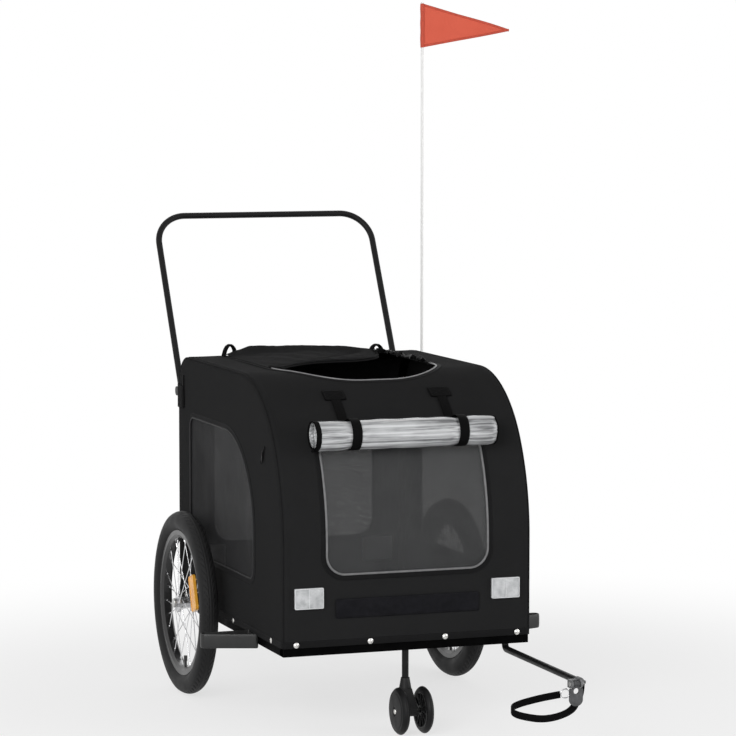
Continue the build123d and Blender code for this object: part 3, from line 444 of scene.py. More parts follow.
def cutSheet(low, high, step, outer=None, holes=()):
    # a grid of cloth with rounded openings, whose edge points are pulled onto the outlines
    across = max(2, round((high[0] - low[0]) / step))
    along = max(2, round((high[1] - low[1]) / step))
    u, v = np.meshgrid(
        np.linspace(low[0], high[0], across + 1), np.linspace(low[1], high[1], along + 1)
    )
    u, v = u.ravel(), v.ravel()
    faces = gridFaces(along, across)
    middle = u[faces].mean(axis=1), v[faces].mean(axis=1)
    keep = np.ones(len(faces), bool)
    if outer is not None:
        keep &= insideOf(outer, *middle)
    for hole in holes:
        keep &= ~insideOf(hole, *middle)
    faces = faces[keep]
    used, spots = np.unique(faces, return_inverse=True)
    faces = spots.reshape(-1, 4)
    u, v = u[used], v[used]
    pairs = np.sort(np.concatenate([faces[:, [k, (k + 1) % 4]] for k in range(4)]), axis=1)
    unique, count = np.unique(pairs, axis=0, return_counts=True)
    rim = np.unique(unique[count == 1])
    for edge in ([outer] if outer is not None else []) + list(holes):
        gap, spot = nearestOn(edge, u[rim], v[rim])
        near = gap < step * 1.5
        u[rim[near]], v[rim[near]] = spot[near].T
    return u, v, faces.tolist()


# Shader groups, each built once and placed in many materials
def newGroup(name, inputs, outputs):
    group = bpy.data.node_groups.new(name, "ShaderNodeTree")
    kinds = {"vector": "NodeSocketVector", "value": "NodeSocketFloat", "colour": "NodeSocketColor"}
    for title, kind, start in inputs:
        socket = group.interface.new_socket(title, in_out="INPUT", socket_type=kinds[kind])
        if start is not None:
            socket.default_value = start
    for title, kind in outputs:
        group.interface.new_socket(title, in_out="OUTPUT", socket_type=kinds[kind])
    nodes = Nodes(group)
    return group, nodes, nodes.add("NodeGroupInput").outputs, nodes.add("NodeGroupOutput").inputs


def makeWeaveGroup():
    # threads over and under each other, Pitch apart, with uneven yarn
    group, n, given, result = newGroup(
        "weave",
        [("Vector", "vector", None), ("Pitch", "value", 0.001), ("Uneven", "value", 0.4)],
        [("Height", "value"), ("Yarn", "value")],
    )
    turns = n.maths("DIVIDE", math.pi, given["Pitch"])
    u, v = n.axes(given["Vector"])[:2]
    wave = [n.maths("SINE", n.maths("MULTIPLY", axis, turns)) for axis in (u, v)]
    over = n.maths("GREATER_THAN", n.maths("MULTIPLY", wave[0], wave[1]), 0.0)
    crown = [n.maths("ABSOLUTE", w) for w in wave]
    under = n.maths("SUBTRACT", 1.0, over)
    warp = n.maths("MULTIPLY", crown[0], n.maths("ADD", n.maths("MULTIPLY", over, 0.45), 0.55))
    weft = n.maths("MULTIPLY", crown[1], n.maths("ADD", n.maths("MULTIPLY", under, 0.45), 0.55))
    height = n.maths("MAXIMUM", warp, weft)
    along = n.noise(n.stretch(given["Vector"], (90.0, 700.0, 90.0)), 1.0, 2.0)
    across = n.noise(n.stretch(given["Vector"], (700.0, 90.0, 90.0)), 1.0, 2.0)
    yarn = n.maths("MULTIPLY", n.maths("ADD", along, across), 0.5)
    uneven = n.maths("MULTIPLY", n.maths("SUBTRACT", yarn, 0.5), given["Uneven"])
    n.put(n.maths("ADD", height, uneven), result["Height"])
    n.put(yarn, result["Yarn"])
    return group


def makeNetGroup():
    # an open net of round threads: Threads is 1 on them and 0 in the holes, and Height rounds them
    group, n, given, result = newGroup(
        "net",
        [("Vector", "vector", None), ("Pitch", "value", 0.0012), ("Closed", "value", 0.66)],
        [("Threads", "value"), ("Height", "value")],
    )
    turns = n.maths("DIVIDE", math.pi, given["Pitch"])
    shift = n.maths("MULTIPLY", n.noise(given["Vector"], 45.0, 1.0), 2.0)
    u, v = n.axes(given["Vector"])[:2]
    wave = [
        n.maths("ABSOLUTE", n.maths("SINE", n.maths("ADD", n.maths("MULTIPLY", axis, turns), shift)))
        for axis in (u, v)
    ]
    opened = n.maths("MULTIPLY", *wave)
    low = n.maths("SUBTRACT", given["Closed"], 0.22)
    high = n.maths("ADD", given["Closed"], 0.22)
    n.put(n.spread(opened, 1.0, 0.0, low, high), result["Threads"])
    n.put(n.maths("SUBTRACT", 1.0, opened), result["Height"])
    return group


def makeWearGroup():
    # rubbed edges, broken up by noise
    group, n, given, result = newGroup(
        "edge_wear",
        [("Vector", "vector", None), ("Amount", "value", 0.3), ("Scale", "value", 60.0)],
        [("Mask", "value")],
    )
    sharp = n.add("ShaderNodeNewGeometry").outputs["Pointiness"]
    edge = n.spread(sharp, 0.0, 1.0, 0.52, 0.62)
    broken = n.spread(n.noise(given["Vector"], given["Scale"], 6.0, 0.65), 0.0, 1.0, 0.42, 0.62)
    n.put(n.maths("MULTIPLY", n.maths("MULTIPLY", edge, broken), given["Amount"], True), result["Mask"])
    return group


def makeDustGroup():
    # fine dust that settles on what faces up, in soft patches
    group, n, given, result = newGroup(
        "dust",
        [("Vector", "vector", None), ("Amount", "value", 0.1), ("Scale", "value", 9.0)],
        [("Mask", "value")],
    )
    up = n.axes(n.add("ShaderNodeNewGeometry").outputs["Normal"])[2]
    facing = n.spread(up, 0.25, 1.0, -0.2, 1.0)
    patch = n.spread(n.noise(given["Vector"], given["Scale"], 5.0, 0.6), 0.0, 1.0, 0.35, 0.75)
    n.put(n.maths("MULTIPLY", n.maths("MULTIPLY", facing, patch), given["Amount"], True), result["Mask"])
    return group


def makeGrainGroup():
    # moulded or cast skin: fine pits on soft waves
    group, n, given, result = newGroup(
        "grain",
        [("Vector", "vector", None), ("Scale", "value", 900.0), ("Waves", "value", 30.0)],
        [("Height", "value"), ("Patch", "value")],
    )
    fine = n.noise(given["Vector"], given["Scale"], 4.0, 0.6)
    slow = n.noise(given["Vector"], given["Waves"], 3.0, 0.5)
    n.put(n.maths("ADD", n.maths("MULTIPLY", fine, 0.8), n.maths("MULTIPLY", slow, 0.2)), result["Height"])
    n.put(slow, result["Patch"])
    return group


groups = {
    "weave": makeWeaveGroup(),
    "net": makeNetGroup(),
    "wear": makeWearGroup(),
    "dust": makeDustGroup(),
    "grain": makeGrainGroup(),
}
print("shader groups built:", ", ".join(groups))


def placeGroup(n, kind, vector, **values):
    node = n.add("ShaderNodeGroup", node_tree=groups[kind])
    n.put(vector, node.inputs["Vector"])
    for title, value in values.items():
        n.put(value, node.inputs[title])
    return node.outputs


finishes = {}


def paintGapShade(n, tint, threads):
    # painted shade: the gaps between the yarns are darkened, as if shaded
    shade = n.add("ShaderNodeMix", data_type="RGBA", blend_type="MULTIPLY")
    n.put(1.0, shade.inputs[0])
    n.put(tint, shade.inputs[6])
    n.put(n.spread(threads, 0.72, 1.0, 0.25, 0.8), shade.inputs[7])
    return shade.outputs[2]


# A finish is a colour and a second one that it drifts to, with what lies on it and in it:
# rough is (low, high), weave (pitch, depth), grain (scale, waves, depth), wear (amount, colour),
# streak long marks along one axis (scales along x, y and z, share), dust an amount, coat
# (weight, roughness), and alpha an open net (pitch, how closed)
def makeFinish(name, colour, drift, rough, metal=0.0, weave=None, grain=None, wear=None, dust=0.05,
               cloth=False, streak=None, alpha=None, coat=None, specular=None):
    material = bpy.data.materials.new(name)
    material.use_nodes = True
    n = Nodes(material.node_tree)
    shader = material.node_tree.nodes["Principled BSDF"]
    spots = n.add("ShaderNodeTexCoord")
    vector = spots.outputs["UV" if cloth else "Object"]
    place = spots.outputs["Object"]
    scale, waves, depth = grain or (500.0, 12.0, 0.0)
    surface = placeGroup(n, "grain", place, Scale=scale, Waves=waves)
    share = n.spread(surface["Patch"], 0.0, 1.0, 0.32, 0.68)
    height = surface["Height"]
    if streak:
        scales, part = streak
        lines = n.spread(n.noise(n.stretch(vector, scales), 1.0, 5.0, 0.6), 0.0, 1.0, 0.35, 0.65)
        share = n.mingle(share, lines, part)
    if weave:
        threads = placeGroup(n, "weave", vector, Pitch=weave[0])
        share = n.mingle(share, threads["Yarn"], 0.55)
        height, depth = threads["Height"], weave[1]
    tint = n.blend(share, (*colour, 1.0), (*drift, 1.0))
    roughness = n.spread(share, rough[0], rough[1])
    if weave:
        # painted shade in the gaps of the weave
        tint = paintGapShade(n, tint, threads["Height"])
    if wear:
        rubbed = placeGroup(n, "wear", place, Amount=wear[0])["Mask"]
        tint = n.blend(rubbed, tint, (*wear[1], 1.0))
        roughness = n.maths("ADD", roughness, n.maths("MULTIPLY", rubbed, 0.12), True)
    if dust:
        settled = placeGroup(n, "dust", place, Amount=dust)["Mask"]
        tint = n.blend(settled, tint, (0.33, 0.31, 0.28, 1.0))
        roughness = n.maths("ADD", roughness, n.maths("MULTIPLY", settled, 0.5), True)
    n.put(tint, shader.inputs["Base Color"])
    n.put(roughness, shader.inputs["Roughness"])
    shader.inputs["Metallic"].default_value = metal
    if depth:
        bump = n.add("ShaderNodeBump")
        n.put(1.0, bump.inputs["Strength"])
        n.put(depth, bump.inputs["Distance"])
        n.put(height, bump.inputs["Height"])
        n.put(bump.outputs[0], shader.inputs["Normal"])
    if alpha:
        holes = placeGroup(n, "net", vector, Pitch=alpha[0], Closed=alpha[1])
        n.put(holes["Threads"], shader.inputs["Alpha"])
    if specular is not None:
        n.put(specular, shader.inputs["Specular IOR Level"])
    if coat:
        n.put(coat[0], shader.inputs["Coat Weight"])
        n.put(coat[1], shader.inputs["Coat Roughness"])
    finishes[name] = material


makeFinish(
    "cover_fabric", (0.0172, 0.0173, 0.0178), (0.0210, 0.0211, 0.0216), (0.84, 0.95),
    weave=(0.00052, 0.00010), dust=0.005, cloth=True, specular=0.03,
)
makeFinish(
    "binding", (0.0085, 0.0085, 0.009), (0.0125, 0.0125, 0.013), (0.66, 0.82),
    weave=(0.0011, 0.00014), dust=0.005, cloth=False, specular=0.06,
)
makeFinish(
    "piping_black", (0.0105, 0.0105, 0.0110), (0.0145, 0.0145, 0.0150), (0.70, 0.85),
    grain=(1400.0, 60.0, 0.00008), dust=0.005, specular=0.03,
)
makeFinish(
    "piping_grey", (0.125, 0.125, 0.128), (0.175, 0.175, 0.178), (0.38, 0.52),
    grain=(1600.0, 90.0, 0.00006), dust=0.02, specular=0.5,
)
makeFinish(
    "thread", (0.010, 0.010, 0.0105), (0.018, 0.018, 0.0185), (0.5, 0.65),
    grain=(2600.0, 200.0, 0.00004), dust=0.0, specular=0.12,
)
makeFinish(
    "webbing", (0.0026, 0.0026, 0.0028), (0.0050, 0.0050, 0.0052), (0.55, 0.72),
    weave=(0.0016, 0.00025), dust=0.004, cloth=True, specular=0.03,
)
makeFinish(
    "window_mesh", (0.040, 0.041, 0.042), (0.052, 0.053, 0.054), (0.5, 0.62),
    dust=0.02, cloth=True, alpha=(0.0012, 0.70), specular=0.2,
)
makeFinish(
    "side_mesh", (0.0165, 0.0165, 0.0175), (0.023, 0.023, 0.024), (0.6, 0.75),
    dust=0.01, cloth=True, alpha=(0.0008, 0.84), specular=0.08,
)
makeFinish(
    "rear_mesh", (0.024, 0.024, 0.025), (0.032, 0.032, 0.033), (0.6, 0.75),
    dust=0.01, cloth=True, alpha=(0.0007, 0.84), specular=0.08,
)
print("cloth finishes built")


# Where the cabin is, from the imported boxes
sideLow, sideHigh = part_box("left_side_panel")
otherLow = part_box("right_side_panel")[0]
axleLow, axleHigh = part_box("left_axle")
middleX = (sideHigh.x + otherLow.x) / 2
axleY = (axleLow.y + axleHigh.y) / 2
cabin = {
    "half": sideHigh.x - middleX,
    "front": sideLow.y,
    "rear": sideHigh.y,
    "hem": sideLow.z,
    "roof": sideHigh.z,
    "noseLower": (0.400, 30.0),  # radius and turn in degrees
    "noseUpper": (0.265, 60.0),
    "rearCorner": 0.070,
    "edgeRound": 0.008,
    "cloth": 0.0009,
}

# The safety strap: the route's points from the keeper's underside, and the webbing on it
strap = {
    "start": (0.234, -0.9285, 0.152),
    "route": [
        (0, 0, 0), (0, 0, -0.017), (-0.013, -0.005, -0.032), (-0.026, -0.009, -0.048),
        (-0.044, -0.013, -0.056), (-0.072, -0.018, -0.061), (-0.100, -0.021, -0.061),
        (-0.128, -0.024, -0.055), (-0.148, -0.018, -0.050), (-0.155, -0.003, -0.045),
        (-0.147, 0.014, -0.041), (-0.124, 0.026, -0.037), (-0.092, 0.033, -0.033),
        (-0.068, 0.032, -0.029), (-0.037, 0.029, -0.025),
    ],
    "width": 0.0145,
    "thick": 0.0016,
    "turned": 0.09,  # over this length the width turns from along the arm to upright
    "sewn": (0.026, 0.003),  # the stitched stretch, measured from the far end
    "stitch": (0.0024, 0.0019, 0.00022),
    "rowAside": 0.36,
}


def routeLine(name, points, resolution=24):
    # the points that one smooth NURBS spline through these control points gives
    data = bpy.data.curves.new(name, "CURVE")
    data.dimensions = "3D"
    data.resolution_u = resolution
    spline = data.splines.new("NURBS")
    spline.points.add(len(points) - 1)
    for spot, point in zip(spline.points, points):
        spot.co = (*point, 1.0)
    spline.order_u = 3
    spline.use_endpoint_u = True
    holder = bpy.data.objects.new(name, data)
    mesh = bpy.data.meshes.new_from_object(holder)
    line = [v.co.copy() for v in mesh.vertices]
    bpy.data.objects.remove(holder)
    bpy.data.curves.remove(data)
    bpy.data.meshes.remove(mesh)
    return line


def hangStrap():
    start = Vector((middleX, axleY, 0)) + Vector(strap["start"])
    line = routeLine("strap_route", [start + Vector(p) for p in strap["route"]])
    marks = marksAlong(line)
    width, half = strap["width"], strap["thick"] / 2
    lifts, across = [], []
    for mark, tangent in zip(marks, tangents(line)):
        wide = Vector((0, 1, 0)).lerp(Vector((0, 0, 1)), float(fade(mark, strap["turned"])))
        across.append(squareTo(wide, tangent))
        lifts.append(across[-1].cross(tangent))
    uv = [(mark, k * width / 4) for mark in marks for k in (0, 1, 3, 4, 4, 3, 1, 0)]
    shape = band(line, lifts, width, strap["thick"])
    piece = addPiece("safety_strap_webbing", shape, "webbing", "drawbar", uv=uv)
    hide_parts("safety_strap")
    first, last = (marks[-1] - back for back in strap["sewn"])
    sewn = [i for i, mark in enumerate(marks) if first < mark < last]
    rows = []
    for side in (-strap["rowAside"], strap["rowAside"]):
        for face in (-1, 1):
            spots = [line[i] + across[i] * width * side + lifts[i] * face * half for i in sewn]
            rows.append(stitches(spots, [lifts[i] * face for i in sewn], *strap["stitch"]))
    seam = addPiece("strap_end_stitches", join(*rows), "thread", "drawbar")


hangStrap()
print("safety strap hung")


def alongProfile(step=0.002):
    # distance, y, z and outward normal along the cabin's side outline, from the front hem to the rear hem
    low, turnLow = cabin["noseLower"]
    high, turnHigh = cabin["noseUpper"]
    corner = cabin["rearCorner"]
    turnLow, turnHigh = math.radians(turnLow), math.radians(turnHigh)
    rise = cabin["roof"] - high - (low - high) * math.sin(turnLow)
    legs = [
        (rise - cabin["hem"], 0.0), (low * turnLow, low), (high * turnHigh, high),
        (None, 0.0), (corner * math.pi / 2, corner), (cabin["roof"] - corner - cabin["hem"], 0.0),
    ]
    noseEnd = cabin["front"] + low * (1 - math.cos(turnLow)) + high * math.cos(turnLow)
    legs[3] = (cabin["rear"] - corner - noseEnd, 0.0)
    rows, ends = [(0.0, cabin["front"], cabin["hem"], -1.0, 0.0)], []
    y, z, heading, gone = cabin["front"], cabin["hem"], math.pi / 2, 0.0
    for length, radius in legs:
        steps = max(2, round(length / step))
        for _ in range(steps):
            turn = length / steps / radius if radius else 0.0
            y += length / steps * math.cos(heading - turn / 2)
            z += length / steps * math.sin(heading - turn / 2)
            heading -= turn
            gone += length / steps
            rows.append((gone, y, z, -math.sin(heading), math.cos(heading)))
        ends.append(gone)
    return np.array(rows), ends


profile, legEnds = alongProfile()
roofStart = int(np.argmax(profile[:, 0] >= legEnds[2] - 1e-9))
rearStart = int(np.argmax(profile[:, 0] >= legEnds[3] - 1e-9))


def atHeight(z):  # the distance along the front where the outline is this high
    return float(np.interp(z, profile[:roofStart, 2], profile[:roofStart, 0]))


def atDepth(y):  # the distance where the nose or roof is this far back
    part = slice(int(np.argmax(profile[:, 0] > legEnds[0])), rearStart + 1)
    return float(np.interp(y, profile[part, 1], profile[part, 0]))


def atRearHeight(z):
    return float(np.interp(-z, -profile[rearStart:, 2], profile[rearStart:, 0]))


def skin(x, d, lift):
    # points on the cover at x from its middle and d along the outline, moved outwards by lift
    y, z, ny, nz = (np.interp(d, profile[:, 0], profile[:, k]) for k in (1, 2, 3, 4))
    return np.stack([middleX + x + 0 * y, y + lift * ny, z + lift * nz], axis=-1)


def skinPoint(x, d, lift=0.0):
    return Vector(skin(np.float64(x), np.float64(d), np.float64(lift)))


def skinNormal(d):
    return Vector((0.0, *(float(np.interp(d, profile[:, 0], profile[:, k])) for k in (3, 4)))).normalized()


def ripples(u, v, size, seed, lean=None):
    # soft waves about size apart, the same each run; lean keeps them near one direction
    rng = np.random.default_rng(seed)
    total = np.zeros_like(u)
    for _ in range(11):
        way = rng.uniform(0, math.pi) if lean is None else lean + rng.normal(0, 0.3)
        long = size * rng.uniform(0.7, 1.6)
        total += np.cos(2 * math.pi * (u * math.cos(way) + v * math.sin(way)) / long + rng.uniform(0, 6.3))
    return total / 11 * 2.2


def thicken(piece, thick, inward=True):
    shell = piece.modifiers.new("thick", "SOLIDIFY")
    shell.thickness = thick
    shell.offset = -1.0 if inward else 1.0
    shell.use_even_offset = False
    return piece


# The cover: its openings in the unrolled sheet, and how it slackens and puckers
cover = {
    "grid": 0.006,
    "sag": 0.0022,
    "waves": (0.00045, 0.13),
    "pucker": (0.00026, 0.016, 0.03),  # height, spacing and reach from a seam
    "frontWindow": (0.040, 0.040, 0.025, 0.025),
    "rearWindow": (0.040, 0.040, 0.025, 0.025),
    "sideWindow": (0.025, 0.025, 0.025, 0.200),
    "hatch": (0.150, 0.150, 0.025, 0.025),
    "hem": 0.012,
}


def onFront(node, inset=0.0):
    low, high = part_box(node)
    half = (high.x - low.x) / 2 - inset
    return -half, half, low.z + inset, high.z - inset


def hatchEdges():
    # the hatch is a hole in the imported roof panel, just inside and ahead of the flap's two loops
    low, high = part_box("hatch_flap_loops")
    half = (high.x - low.x) / 2 - 0.009
    rear = (low.y + high.y) / 2 - 0.020
    return -half, half, rear - 0.448, rear


def outlines():
    left, right, low, high = onFront("front_window_mesh")
    front = roundedOutline((left, atHeight(low)), (right, atHeight(high)), cover["frontWindow"])
    left, right, near, far = hatchEdges()
    hatch = roundedOutline((left, atDepth(near)), (right, atDepth(far)), cover["hatch"])
    left, right, low, high = onFront("rear_window_mesh")
    big, small = cover["rearWindow"][0], cover["rearWindow"][2]
    rear = roundedOutline((left, atRearHeight(high)), (right, atRearHeight(low)), (small, small, big, big))
    return front, hatch, rear


frontOpening, hatchOpening, rearOpening = outlines()
endHalf = cabin["half"] - cabin["edgeRound"] * (1 - math.pi / 4)  # half the end sheet's width, laid flat


def roundOver(u):
    # across the sheet: x from the middle, and the drop at the rounded sides
    r = cabin["edgeRound"]
    flat = cabin["half"] - r
    turn = np.clip((np.abs(u) - flat) / r, 0, None)
    x = np.where(turn > 0, flat + r * np.sin(turn), np.abs(u)) * np.sign(u)
    return x, -r * (1 - np.cos(turn))


def slackness(u, v, edges, seed, sagAt):
    # how far the cloth stands in or out: sag in each span, slow waves, puckers beside its seams
    gap = np.full(u.shape, 1.0)
    for edge in edges:
        gap = np.minimum(gap, nearestOn(edge, u, v)[0])
    side = endHalf - np.abs(u) if sagAt is not None else gap
    gap = np.minimum(gap, np.abs(side))
    high, size = cover["waves"]
    out = high * ripples(u, v, size, seed) * fade(gap, 0.05)
    tall, pitch, reach = cover["pucker"]
    out = out + tall * ripples(u, v, pitch, seed + 1) * fade(gap, 0.004) * (1 - fade(gap, reach))
    if sagAt is not None:
        span = np.zeros_like(v)
        for start, end in sagAt:
            t = np.clip((v - start) / (end - start), 0, 1)
            span += np.sin(math.pi * t) ** 2
        out = out - cover["sag"] * span * (1 - (np.abs(u) / cabin["half"]) ** 2)
    return out


def coverEnds():
    total, split = profile[-1, 0], legEnds[3]
    bend = legEnds[2] - 0.1
    parts = (
        ("cover_front_and_roof", "front_roof_panel", 0.0, split, [frontOpening, hatchOpening], 11,
         [(0.0, legEnds[0] + 0.05), (legEnds[1], bend), (bend, split)]),
        ("cover_rear", "rear_panel", split, total, [rearOpening], 23, [(legEnds[4], total)]),
    )
    for name, node, start, end, holes, seed, sags in parts:
        u, v, faces = cutSheet((-endHalf, start), (endHalf, end), cover["grid"], holes=holes)
        x, drop = roundOver(u)
        points = skin(x, v, drop + slackness(u, v, holes, seed, sags))
        piece = addPiece(name, (points, faces), "cover_fabric", uv=np.stack([u, v], axis=1))
        thicken(piece, cabin["cloth"])
        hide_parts(node)


def signedArea(outline):
    # above 0 where the outline runs counter-clockwise
    x, y = np.array(outline).T
    return float(np.dot(x, np.roll(y, -1)) - np.dot(y, np.roll(x, -1))) / 2


def sideOpening():
    low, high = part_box("left_window_mesh")
    return roundedOutline((low.y, low.z), (high.y, high.z), cover["sideWindow"])


def coverSides():
    r = cabin["edgeRound"]
    reach = r * (1 - math.pi / 4)
    flatEdge = profile[:, 1:3] - profile[:, 3:5] * r
    outer = profile[:, 1:3] - profile[:, 3:5] * reach
    outline = [(float(a), float(b)) for a, b in outer]
    opening = sideOpening()
    for side, sign in bothSides:
        low, high = outer.min(axis=0), outer.max(axis=0)
        u, v, faces = cutSheet(low, high, cover["grid"], outer=evenly(outline, 0.003), holes=[opening])
        near = nearestTo(flatEdge, u, v)[1]
        out = (u - flatEdge[near, 0]) * profile[near, 3] + (v - flatEdge[near, 1]) * profile[near, 4]
        turn = np.clip(out / r, 0, None)
        y = np.where(turn > 0, u + (r * np.sin(turn) - out) * profile[near, 3], u)
        z = np.where(turn > 0, v + (r * np.sin(turn) - out) * profile[near, 4], v)
        lift = slackness(u, v, [opening, outline], 31 + sign, None) - r * (1 - np.cos(turn))
        points = np.stack([middleX + sign * (cabin["half"] + lift), y, z], axis=-1)
        if sign < 0:
            faces = [face[::-1] for face in faces]
        piece = addPiece(f"cover_{side}_side", (points, faces), "cover_fabric",
                         uv=np.stack([u, v], axis=1))
        thicken(piece, cabin["cloth"])
        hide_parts(f"{side}_side_panel")


coverEnds()
coverSides()
print("cover sewn")


# Seams, piping and tape that follow the cover's openings and corners
trim = {
    "pipe": 0.0017,
    "frontPipe": 0.0024,
    "cornerPipe": 0.0014,
    "pipeLift": 0.0006,
    "tape": (0.010, 0.0007),
    "tapeAway": 0.0065,
    "tapeRows": 0.38,  # how far from the tape's middle its rows of stitches run, as a share of its width
    "cornerRows": (0.012, 0.0165),
    "cornerStep": 0.004,
    "stitch": (0.0030, 0.0022, 0.00022),  # pitch, length and thread radius
    "hemTape": (0.014, 0.0008),
}


def shifted(outline, away):
    # the closed outline moved outwards
    edge = np.array(outline)
    along = np.roll(edge, -1, axis=0) - np.roll(edge, 1, axis=0)
    along /= np.linalg.norm(along, axis=1)[:, None]
    turn = 1.0 if signedArea(edge) > 0 else -1.0
    return edge + turn * away * np.stack([along[:, 1], -along[:, 0]], axis=1)


def onSkin(outline, lift, away=0.0):
    return [skinPoint(a, b, lift) for a, b in shifted(outline, away)], [skinNormal(b) for _, b in outline]


def onSide(sign):
    def place(outline, lift, away=0.0):
        spots = [
            Vector((middleX + sign * (cabin["half"] + lift), a, b)) for a, b in shifted(outline, away)
        ]
        return spots, [Vector((sign, 0, 0))] * len(spots)
    return place


def trimOpening(name, outline, place, pipeFinish, part=None, pipeRadius=trim["pipe"]):
    # piping on the opening's edge, a tape round it and two rows of stitches;
    # part picks a stretch of the piping
    points, lifts = place(outline, trim["pipeLift"])
    chosen = points if part is None else [p for p, keep in zip(points, part) if keep]
    pipe = tube(chosen, pipeRadius, 10, closed=part is None, up=lifts[0])
    addPiece(f"{name}_piping", pipe, pipeFinish)
    width, thick = trim["tape"]
    points, lifts = place(outline, thick / 2, trim["tapeAway"])
    addTape(f"{name}_tape", points, lifts, width, thick, "binding", closed=True)
    rows = []
    for aside in (-width * trim["tapeRows"], width * trim["tapeRows"]):
        points, lifts = place(outline, thick, trim["tapeAway"] + aside)
        rows.append(stitches(points + points[:1], lifts + lifts[:1], *trim["stitch"]))
    addPiece(f"{name}_stitches", join(*rows), "thread", smooth=False)


def tapeUv(points, width):
    around = (0, 0.2, 0.8, 1, 1, 0.8, 0.2, 0)
    return [(share * width, float(mark)) for mark in marksAlong(points) for share in around]


def addTape(name, points, lifts, width, thick, finish="webbing", closed=False):
    shape = band(points, lifts, width, thick, closed)
    return addPiece(name, shape, finish, uv=tapeUv(points, width))


def trimCover():
    trimOpening("front_window", frontOpening, onSkin, "piping_grey", pipeRadius=trim["frontPipe"])
    trimOpening("rear_window", rearOpening, onSkin, "piping_grey")
    opening = sideOpening()
    for side, sign in bothSides:
        trimOpening(f"{side}_window", opening, onSide(sign), "piping_dim")
    # black piping in the corner seams between the ends and the sides
    r = cabin["edgeRound"]
    x = cabin["half"] - r + r * math.sin(math.pi / 4)
    drop = -r * (1 - math.cos(math.pi / 4)) + 0.0004
    marks = np.arange(0.0, profile[-1, 0] + 0.001, trim["cornerStep"])
    for side, sign in bothSides:
        points = [skinPoint(sign * x, d, drop) for d in marks]
        cord = tube(points, trim["cornerPipe"], 10, up=(sign, 0, 0))
        addPiece(f"{side}_corner_piping", cord, "piping_black")
        rows = []
        for inset in trim["cornerRows"]:
            spots = [skinPoint(sign * (cabin["half"] - inset), d, 0.0) for d in marks]
            rows.append(stitches(spots, [skinNormal(d) for d in marks], *trim["stitch"]))
        addPiece(f"{side}_corner_stitches", join(*rows), "thread", smooth=False)


makeFinish(
    "piping_dim", (0.020, 0.020, 0.021), (0.029, 0.029, 0.030), (0.5, 0.65),
    grain=(1600.0, 90.0, 0.00006), dust=0.01, specular=0.15,
)


def hemLine(lift, z):
    # round the cabin just above the hem, with rounded corners
    r = cabin["edgeRound"]
    low = (middleX - cabin["half"], cabin["front"])
    high = (middleX + cabin["half"], cabin["rear"])
    line = roundedOutline(low, high, (r, r, r, r), 0.004)
    moved = shifted(line, lift)
    out = shifted(line, 1.0) - np.array(line)
    return [Vector((a, b, z)) for a, b in moved], [Vector((a, b, 0)).normalized() for a, b in out]


def sewHem():
    width, thick = trim["hemTape"]
    z = cabin["hem"] + width / 2
    points, lifts = hemLine(thick / 2, z)
    addTape("hem_tape", points, lifts, width, thick, "binding", closed=True)
    points, lifts = hemLine(thick, z + width * 0.36)
    seam = stitches(points + points[:1], lifts + lifts[:1], *trim["stitch"])
    addPiece("hem_stitches", seam, "thread", smooth=False)


trimCover()
sewHem()
print("piping, tape and seams sewn")

# Window mesh: slack nets sewn behind the openings
net = {
    "grid": 0.006,
    "lap": 0.006,
    "behind": 0.0016,
    "slack": 0.005,
    "wave": (0.0007, 0.09),
    "slackFrom": 0.09,  # from its edge inwards the net reaches its full slack, and its full waves
    "wavesFrom": 0.03,
}


def netShape(u, v, outline, seed):
    inside = nearestOn(outline, u, v)[0] * np.where(insideOf(outline, u, v), 1, 0)
    tall, size = net["wave"]
    waves = tall * ripples(u, v, size, seed) * fade(inside, net["wavesFrom"])
    return -net["behind"] - net["slack"] * fade(inside, net["slackFrom"]) + waves


def hangNet(name, node, outline, place, seed, finish="window_mesh", flip=False):
    wide = [(float(a), float(b)) for a, b in shifted(outline, net["lap"])]
    edge = np.array(wide)
    u, v, faces = cutSheet(edge.min(axis=0), edge.max(axis=0), net["grid"], outer=evenly(wide, 0.003))
    points = place(u, v, netShape(u, v, outline, seed))
    if flip:
        faces = [face[::-1] for face in faces]
    piece = addPiece(name, (points, faces), finish,
                     uv=np.stack([u, v], axis=1))
    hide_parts(node)


def hangNets():
    hangNet("front_window_net", "front_window_mesh", frontOpening, skin, 41)
    hangNet("rear_window_net", "rear_window_mesh", rearOpening, skin, 42, "rear_mesh")
    for side, sign in bothSides:
        def place(u, v, lift, sign=sign):
            return np.stack([middleX + sign * (cabin["half"] + lift), u, v], axis=-1)
        hangNet(f"{side}_window_net", f"{side}_window_mesh", sideOpening(), place, 50 + sign,
                "side_mesh", sign < 0)


hangNets()
print("window nets hung")


# The hatch flap: unzipped at the front and right, folded back over the rear left of the opening
flap = {
    "edge": [  # the free edge, from the left side round to the right end of the fold
        (-0.186, -0.212), (-0.164, -0.210), (-0.143, -0.184), (-0.116, -0.150), (-0.080, -0.115),
        (-0.036, -0.088), (0.016, -0.084), (0.062, -0.078), (0.102, -0.052), (0.134, -0.006),
        (0.152, 0.046), (0.160, 0.112),
    ],
    "rear": 0.112,
    "crest": [(-0.186, 0.004), (-0.162, 0.011), (-0.135, 0.0185), (-0.03, 0.0178), (0.05, 0.0150),
              (0.12, 0.0085), (0.16, 0.004)],
    "crestY": 0.094,
    "grid": 0.0045,
    "curl": 0.020,
    "teeth": (0.0024, 0.0016, 0.0009),
    "tape": (0.009, 0.0007),
    "tapeLift": 0.0004,
    "teethLift": 0.0012,
    "edgeUp": 0.8,
}


def raised(points, lifts, height):
    return [p + n * height for p, n in zip(points, lifts)]


